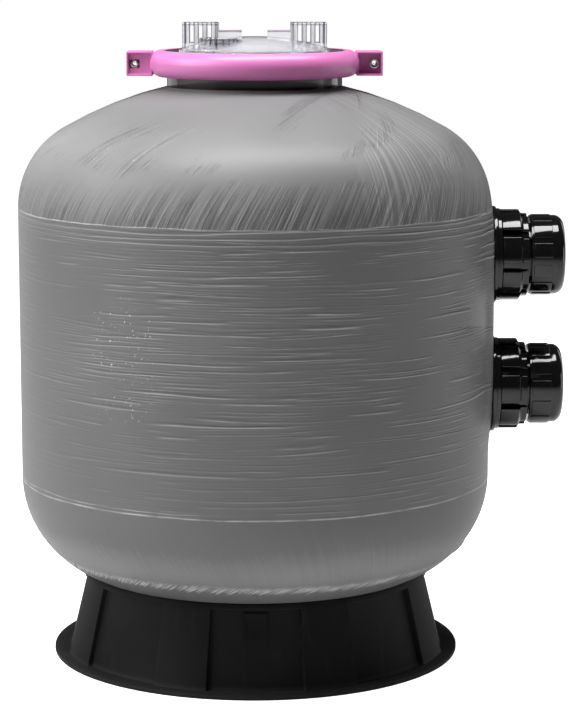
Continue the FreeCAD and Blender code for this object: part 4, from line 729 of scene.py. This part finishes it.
dome_centre = CREST - DOME
dome_turn = math.degrees(math.asin(DOME_EDGE / DOME))
inner_turn = math.degrees(math.asin(LID_INSIDE / (DOME - LID_WALL)))
lid_mesh = bmesh.new()
trace(lid_mesh, (0, CREST - LID_WALL), [
    (0, dome_centre, -inner_turn), (LID_INSIDE, SPIGOT_FOOT), (SPIGOT_RADIUS, SPIGOT_FOOT),
    (SPIGOT_RADIUS, FACE), (FLANGE_EDGE, FACE), (FLANGE_EDGE, LID_FLANGE_TOP), (FLANGE_ROOT, LID_FLANGE_ROOT),
    (FLANGE_ROOT, RIM_TOP - RIM_BEVEL), (FLANGE_ROOT - RIM_BEVEL, RIM_TOP), (DOME_EDGE, RIM_TOP),
    (DOME_EDGE, dome_centre + math.sqrt(DOME ** 2 - DOME_EDGE ** 2)),
    (0, dome_centre, dome_turn),
])
turn(lid_mesh, 128)
lid = piece("lid_dome", lid_mesh, clear_plastic, "lid", "lid")
relief_spot = Matrix.Translation((RELIEF_X, RELIEF_Y, 0))
cut(lid, rod(WELL_WALL, 0.767, 0.7795, relief_spot, 64), "UNION")
cut(lid, rod(WELL_RADIUS, WELL_FLOOR, 0.81, relief_spot, 64))
cut(lid, rod(BOSS_RADIUS, 0.772, 0.780, relief_spot, 48), "UNION")
cut(lid, rod(STEM_HOLE, 0.74, 0.80, relief_spot, 32))
for side in (1, -1):
    cut(lid, box(ARM_SIZE, (side * 0.0535, 0, GRIP_MIDDLE), width=0.0006), "UNION")
    cut(lid, box(GRIP_SIZE, (side * GRIP_OUT, 0, GRIP_MIDDLE), width=0.0015), "UNION")
    for step in (-1, 0, 1):
        cut(lid, box(SLOT_SIZE, (side * GRIP_OUT + step * SLOT_PITCH, 0, SLOT_MIDDLE), width=0.0))
    for step in (-1.5, -0.5, 0.5, 1.5):
        cut(lid, box(INNER_POCKET, (side * GRIP_OUT + step * SLOT_PITCH * 1.06, 0, SLOT_MIDDLE), width=0.0))


# The air relief: a fluted knob on a threaded stem, moulded in the lid's clear plastic. Two turns lift it
# off the rubber ring on its stem and let the trapped air out.
STEM, STEM_FOOT = 0.0035, 0.768
KNOB_UNDER, KNOB_SKIRT, KNOB_INSIDE, KNOB_RADIUS = 0.783, 0.7738, 0.019, 0.024
KNOB_SHOULDER, KNOB_TOP = 0.786, 0.788


def flute(bm, count, share, beyond):
    """Press flutes into a turned shape: what lies beyond a radius moves in by up to a share of its own."""
    for vert in bm.verts:
        out = math.hypot(vert.co.x, vert.co.y)
        if out > beyond:
            shrink = 1 - share * max(0.0, math.cos(count * math.atan2(vert.co.y, vert.co.x)))
            vert.co.x, vert.co.y = vert.co.x * shrink, vert.co.y * shrink


knob = bmesh.new()
trace(knob, (0, STEM_FOOT), [
    (STEM, STEM_FOOT), (STEM, KNOB_UNDER), (KNOB_INSIDE, KNOB_UNDER), (KNOB_INSIDE, KNOB_SKIRT),
    (KNOB_RADIUS, KNOB_SKIRT), (KNOB_RADIUS, KNOB_SHOULDER), (0.022, KNOB_SHOULDER, 90), (0, KNOB_TOP),
])
turn(knob, 144)
flute(knob, KNOB_FLUTES, 0.05, 0.0215)
knob.transform(relief_spot)
piece("relief_knob", knob, clear_plastic, "relief_knob", "air_relief_knob")


# The ports: a stepped ring against the tank's pad, a lobed lock nut, and a union nut with grip pads
# that holds the tailpiece for the user's pipe. All are black moulded plastic.
PORT_BORE = 0.0403
RING_EDGE, RING_LIP, RING_STEP, RING_END = 0.062, 0.059, 0.3065, 0.312
LOCK_RADIUS, LOCK_END, LOCK_LOBES = 0.050, 0.346, 8
LOBE_FOOT, LOBE_EDGE, LOBE_TIP, LOBE_FULL, LOBE_DROP = 0.048, 0.058, 0.053, 0.3355, 0.3385
UNION_BORE, UNION_RADIUS, UNION_MOUTH = 0.0404, 0.0504, 0.035
UNION_FOOT, UNION_STOP, UNION_SHOULDER, UNION_END = 0.3495, 0.3726, 0.3805, 0.3925
PAD_FOOT, PAD_TOP, PAD_START, PAD_END, GRIP_PADS = 0.049, 0.0516, 0.352, 0.376, 12
TAIL_BORE, TAIL_WALL, TAIL_SOCKET, TAIL_COLLAR = 0.027, 0.0346, 0.0316, 0.0396
TAIL_FOOT, SOCKET_FLOOR, COLLAR_FOOT, COLLAR_TOP = 0.352, 0.3545, 0.3663, 0.3723


def port_place(height, turned):
    """Where a port's axis lies, with the port's own z pointing away from the tank."""
    return (Matrix.Translation((0, 0, height)) @ Matrix.Rotation(math.pi / 2, 4, "Y")
            @ Matrix.Rotation(math.radians(turned), 4, "Z"))


def ring(start, moves, width=0.0008):
    """A ring turned from a closed outline, with rounded edges."""
    bm = bmesh.new()
    trace(bm, start, moves, closed=True)
    turn(bm, 128)
    soften(bm, width)
    return bm


def lobes(outline, count, width_degrees, rounded):
    """Like pieces evenly round a nut, each a closed outline turned through a few degrees."""
    bm = bmesh.new()
    for index in range(count):
        one = bmesh.new()
        trace(one, outline[0], outline[1:], closed=True)
        bmesh.ops.contextual_create(one, geom=one.edges[:])
        start = math.tau * index / count - math.radians(width_degrees / 2)
        bmesh.ops.rotate(one, verts=one.verts[:], cent=(0, 0, 0), matrix=Matrix.Rotation(start, 3, "Z"))
        bmesh.ops.spin(one, geom=one.verts[:] + one.edges[:] + one.faces[:], cent=(0, 0, 0), axis=(0, 0, 1),
                       angle=math.radians(width_degrees), steps=8)
        bmesh.ops.recalc_face_normals(one, faces=one.faces[:])
        soften(one, rounded, 50, 3)
        join(bm, one)
    return bm


for port, height, turned in (("upper", UPPER_PORT, -12.0), ("lower", LOWER_PORT, -2.0)):
    place = port_place(height, turned)
    stepped = ring((PORT_BORE, PAD_FACE), [
        (RING_EDGE, PAD_FACE), (RING_EDGE, RING_STEP), (RING_LIP, RING_STEP), (RING_LIP, RING_END),
        (PORT_BORE, RING_END),
    ], width=0.0012)
    stepped.transform(place)
    piece(f"{port}_ring", stepped, fitting_plastic, "tank", f"{port}_outer_ring")
    lock = ring((PORT_BORE, RING_END), [
        (LOCK_RADIUS, RING_END), (LOCK_RADIUS, LOCK_END), (PORT_BORE, LOCK_END),
    ])
    join(lock, lobes([
        (LOBE_FOOT, RING_END), (LOBE_EDGE, RING_END), (LOBE_EDGE, LOBE_FULL), (LOBE_TIP, LOBE_DROP),
        (LOBE_TIP, LOCK_END), (LOBE_FOOT, LOCK_END),
    ], LOCK_LOBES, 34, 0.0011))
    lock.transform(place)
    piece(f"{port}_lock", lock, fitting_plastic, "tank", f"{port}_lock_nut")
    nut = ring((UNION_BORE, UNION_FOOT), [
        (UNION_RADIUS, UNION_FOOT), (UNION_RADIUS, UNION_SHOULDER), (0.0384, UNION_SHOULDER, 90),
        (UNION_MOUTH, UNION_END), (UNION_MOUTH, UNION_STOP), (UNION_BORE, UNION_STOP),
    ])
    join(nut, lobes([
        (PAD_FOOT, PAD_START), (PAD_TOP, PAD_START), (PAD_TOP, PAD_END), (PAD_FOOT, PAD_END),
    ], GRIP_PADS, 21, 0.0007))
    nut.transform(place)
    piece(f"{port}_union", nut, fitting_plastic, f"{port}_union_nut", f"{port}_union_nut")
    tail = ring((TAIL_BORE, TAIL_FOOT), [
        (TAIL_WALL, TAIL_FOOT), (TAIL_WALL, COLLAR_FOOT), (TAIL_COLLAR, COLLAR_FOOT),
        (TAIL_COLLAR, COLLAR_TOP), (TAIL_WALL, COLLAR_TOP), (TAIL_WALL, UNION_END),
        (TAIL_SOCKET, UNION_END), (TAIL_SOCKET, SOCKET_FLOOR), (TAIL_BORE, SOCKET_FLOOR),
    ], width=0.0005)
    tail.transform(place)
    piece(f"{port}_tail", tail, fitting_plastic, f"{port}_tailpiece", f"{port}_tailpiece")


# The drain: a black moulded flange and spigot through the lower knuckle, held by a nut inside the tank.
# A fluted cap screws over the spigot and closes it.
DRAIN_BORE, DRAIN_NECK, DRAIN_FOOT = 0.010, 0.0165, 0.100
PLATE_RADIUS, PLATE_FOOT, PLATE_TOP = 0.0325, 0.134, 0.138
SPOUT_RADIUS, SPOUT_END = 0.019, 0.151
CAP_INSIDE, CAP_RADIUS, CAP_BEVEL = 0.0194, 0.0255, 0.003
CAP_FOOT, CAP_ROOF, CAP_TOP = 0.1386, 0.1536, 0.1606
CAP_FLUTES = 14

flange = ring((DRAIN_BORE, DRAIN_FOOT), [
    (DRAIN_NECK, DRAIN_FOOT), (DRAIN_NECK, PLATE_FOOT), (PLATE_RADIUS, PLATE_FOOT), (PLATE_RADIUS, PLATE_TOP),
    (SPOUT_RADIUS, PLATE_TOP), (SPOUT_RADIUS, SPOUT_END), (DRAIN_BORE, SPOUT_END),
])
flange.transform(ON_DRAIN)
piece("drain_flange", flange, fitting_plastic, "tank", "drain_body")
cap = bmesh.new()
trace(cap, (CAP_INSIDE, CAP_FOOT), [
    (CAP_RADIUS, CAP_FOOT), (CAP_RADIUS, CAP_TOP - CAP_BEVEL), (CAP_RADIUS - CAP_BEVEL, CAP_TOP),
    (0, CAP_TOP), (0, CAP_ROOF), (CAP_INSIDE, CAP_ROOF),
], closed=True)
turn(cap, 192)
flute(cap, CAP_FLUTES, 0.06, 0.023)
cap.transform(ON_DRAIN)
piece("drain_cap_fluted", cap, fitting_plastic, "drain_cap", "drain_cap")


# The pipework inside the tank: pale pressure pipe and elbows, the diffuser and the slotted collector,
# with black rubber seals at the joints. They keep the solids' own shapes, and get only their finish here.
inner_plastic, shader, point = finish("inner_plastic", (0.55, 0.56, 0.54), 0.45)
cloud = point.noise(25.0, 4.0, 0.6)
cloud.tint((0.48, 0.49, 0.47), (0.62, 0.63, 0.61)).feeds(shader, "Base Color")
(0.38 + cloud * 0.2).feeds(shader, "Roughness")
cloud.bump(0.0003, 0.3).feeds(shader, "Normal")

rubber, shader, point = finish("rubber", (0.012, 0.012, 0.012), 0.7)
cloud = point.noise(120.0, 3.0)
cloud.tint((0.008, 0.008, 0.008), (0.022, 0.022, 0.022)).feeds(shader, "Base Color")
cloud.bump(0.0001, 0.4).feeds(shader, "Normal")

by_slot = {"inner_plastic": inner_plastic, "rubber": rubber, "fitting_plastic": fitting_plastic,
           "stainless": stainless, "clear_plastic": clear_plastic, "clamp_plastic": clamp_plastic,
           "stand_plastic": stand_plastic, "wound_resin": wound_resin}
for part in frame["record"]["subparts"]:
    node = frame["nodes"][part["node"]]
    if not node.hide_render:
        node.data.materials.clear()
        node.data.materials.append(by_slot[part["material_slot"]])
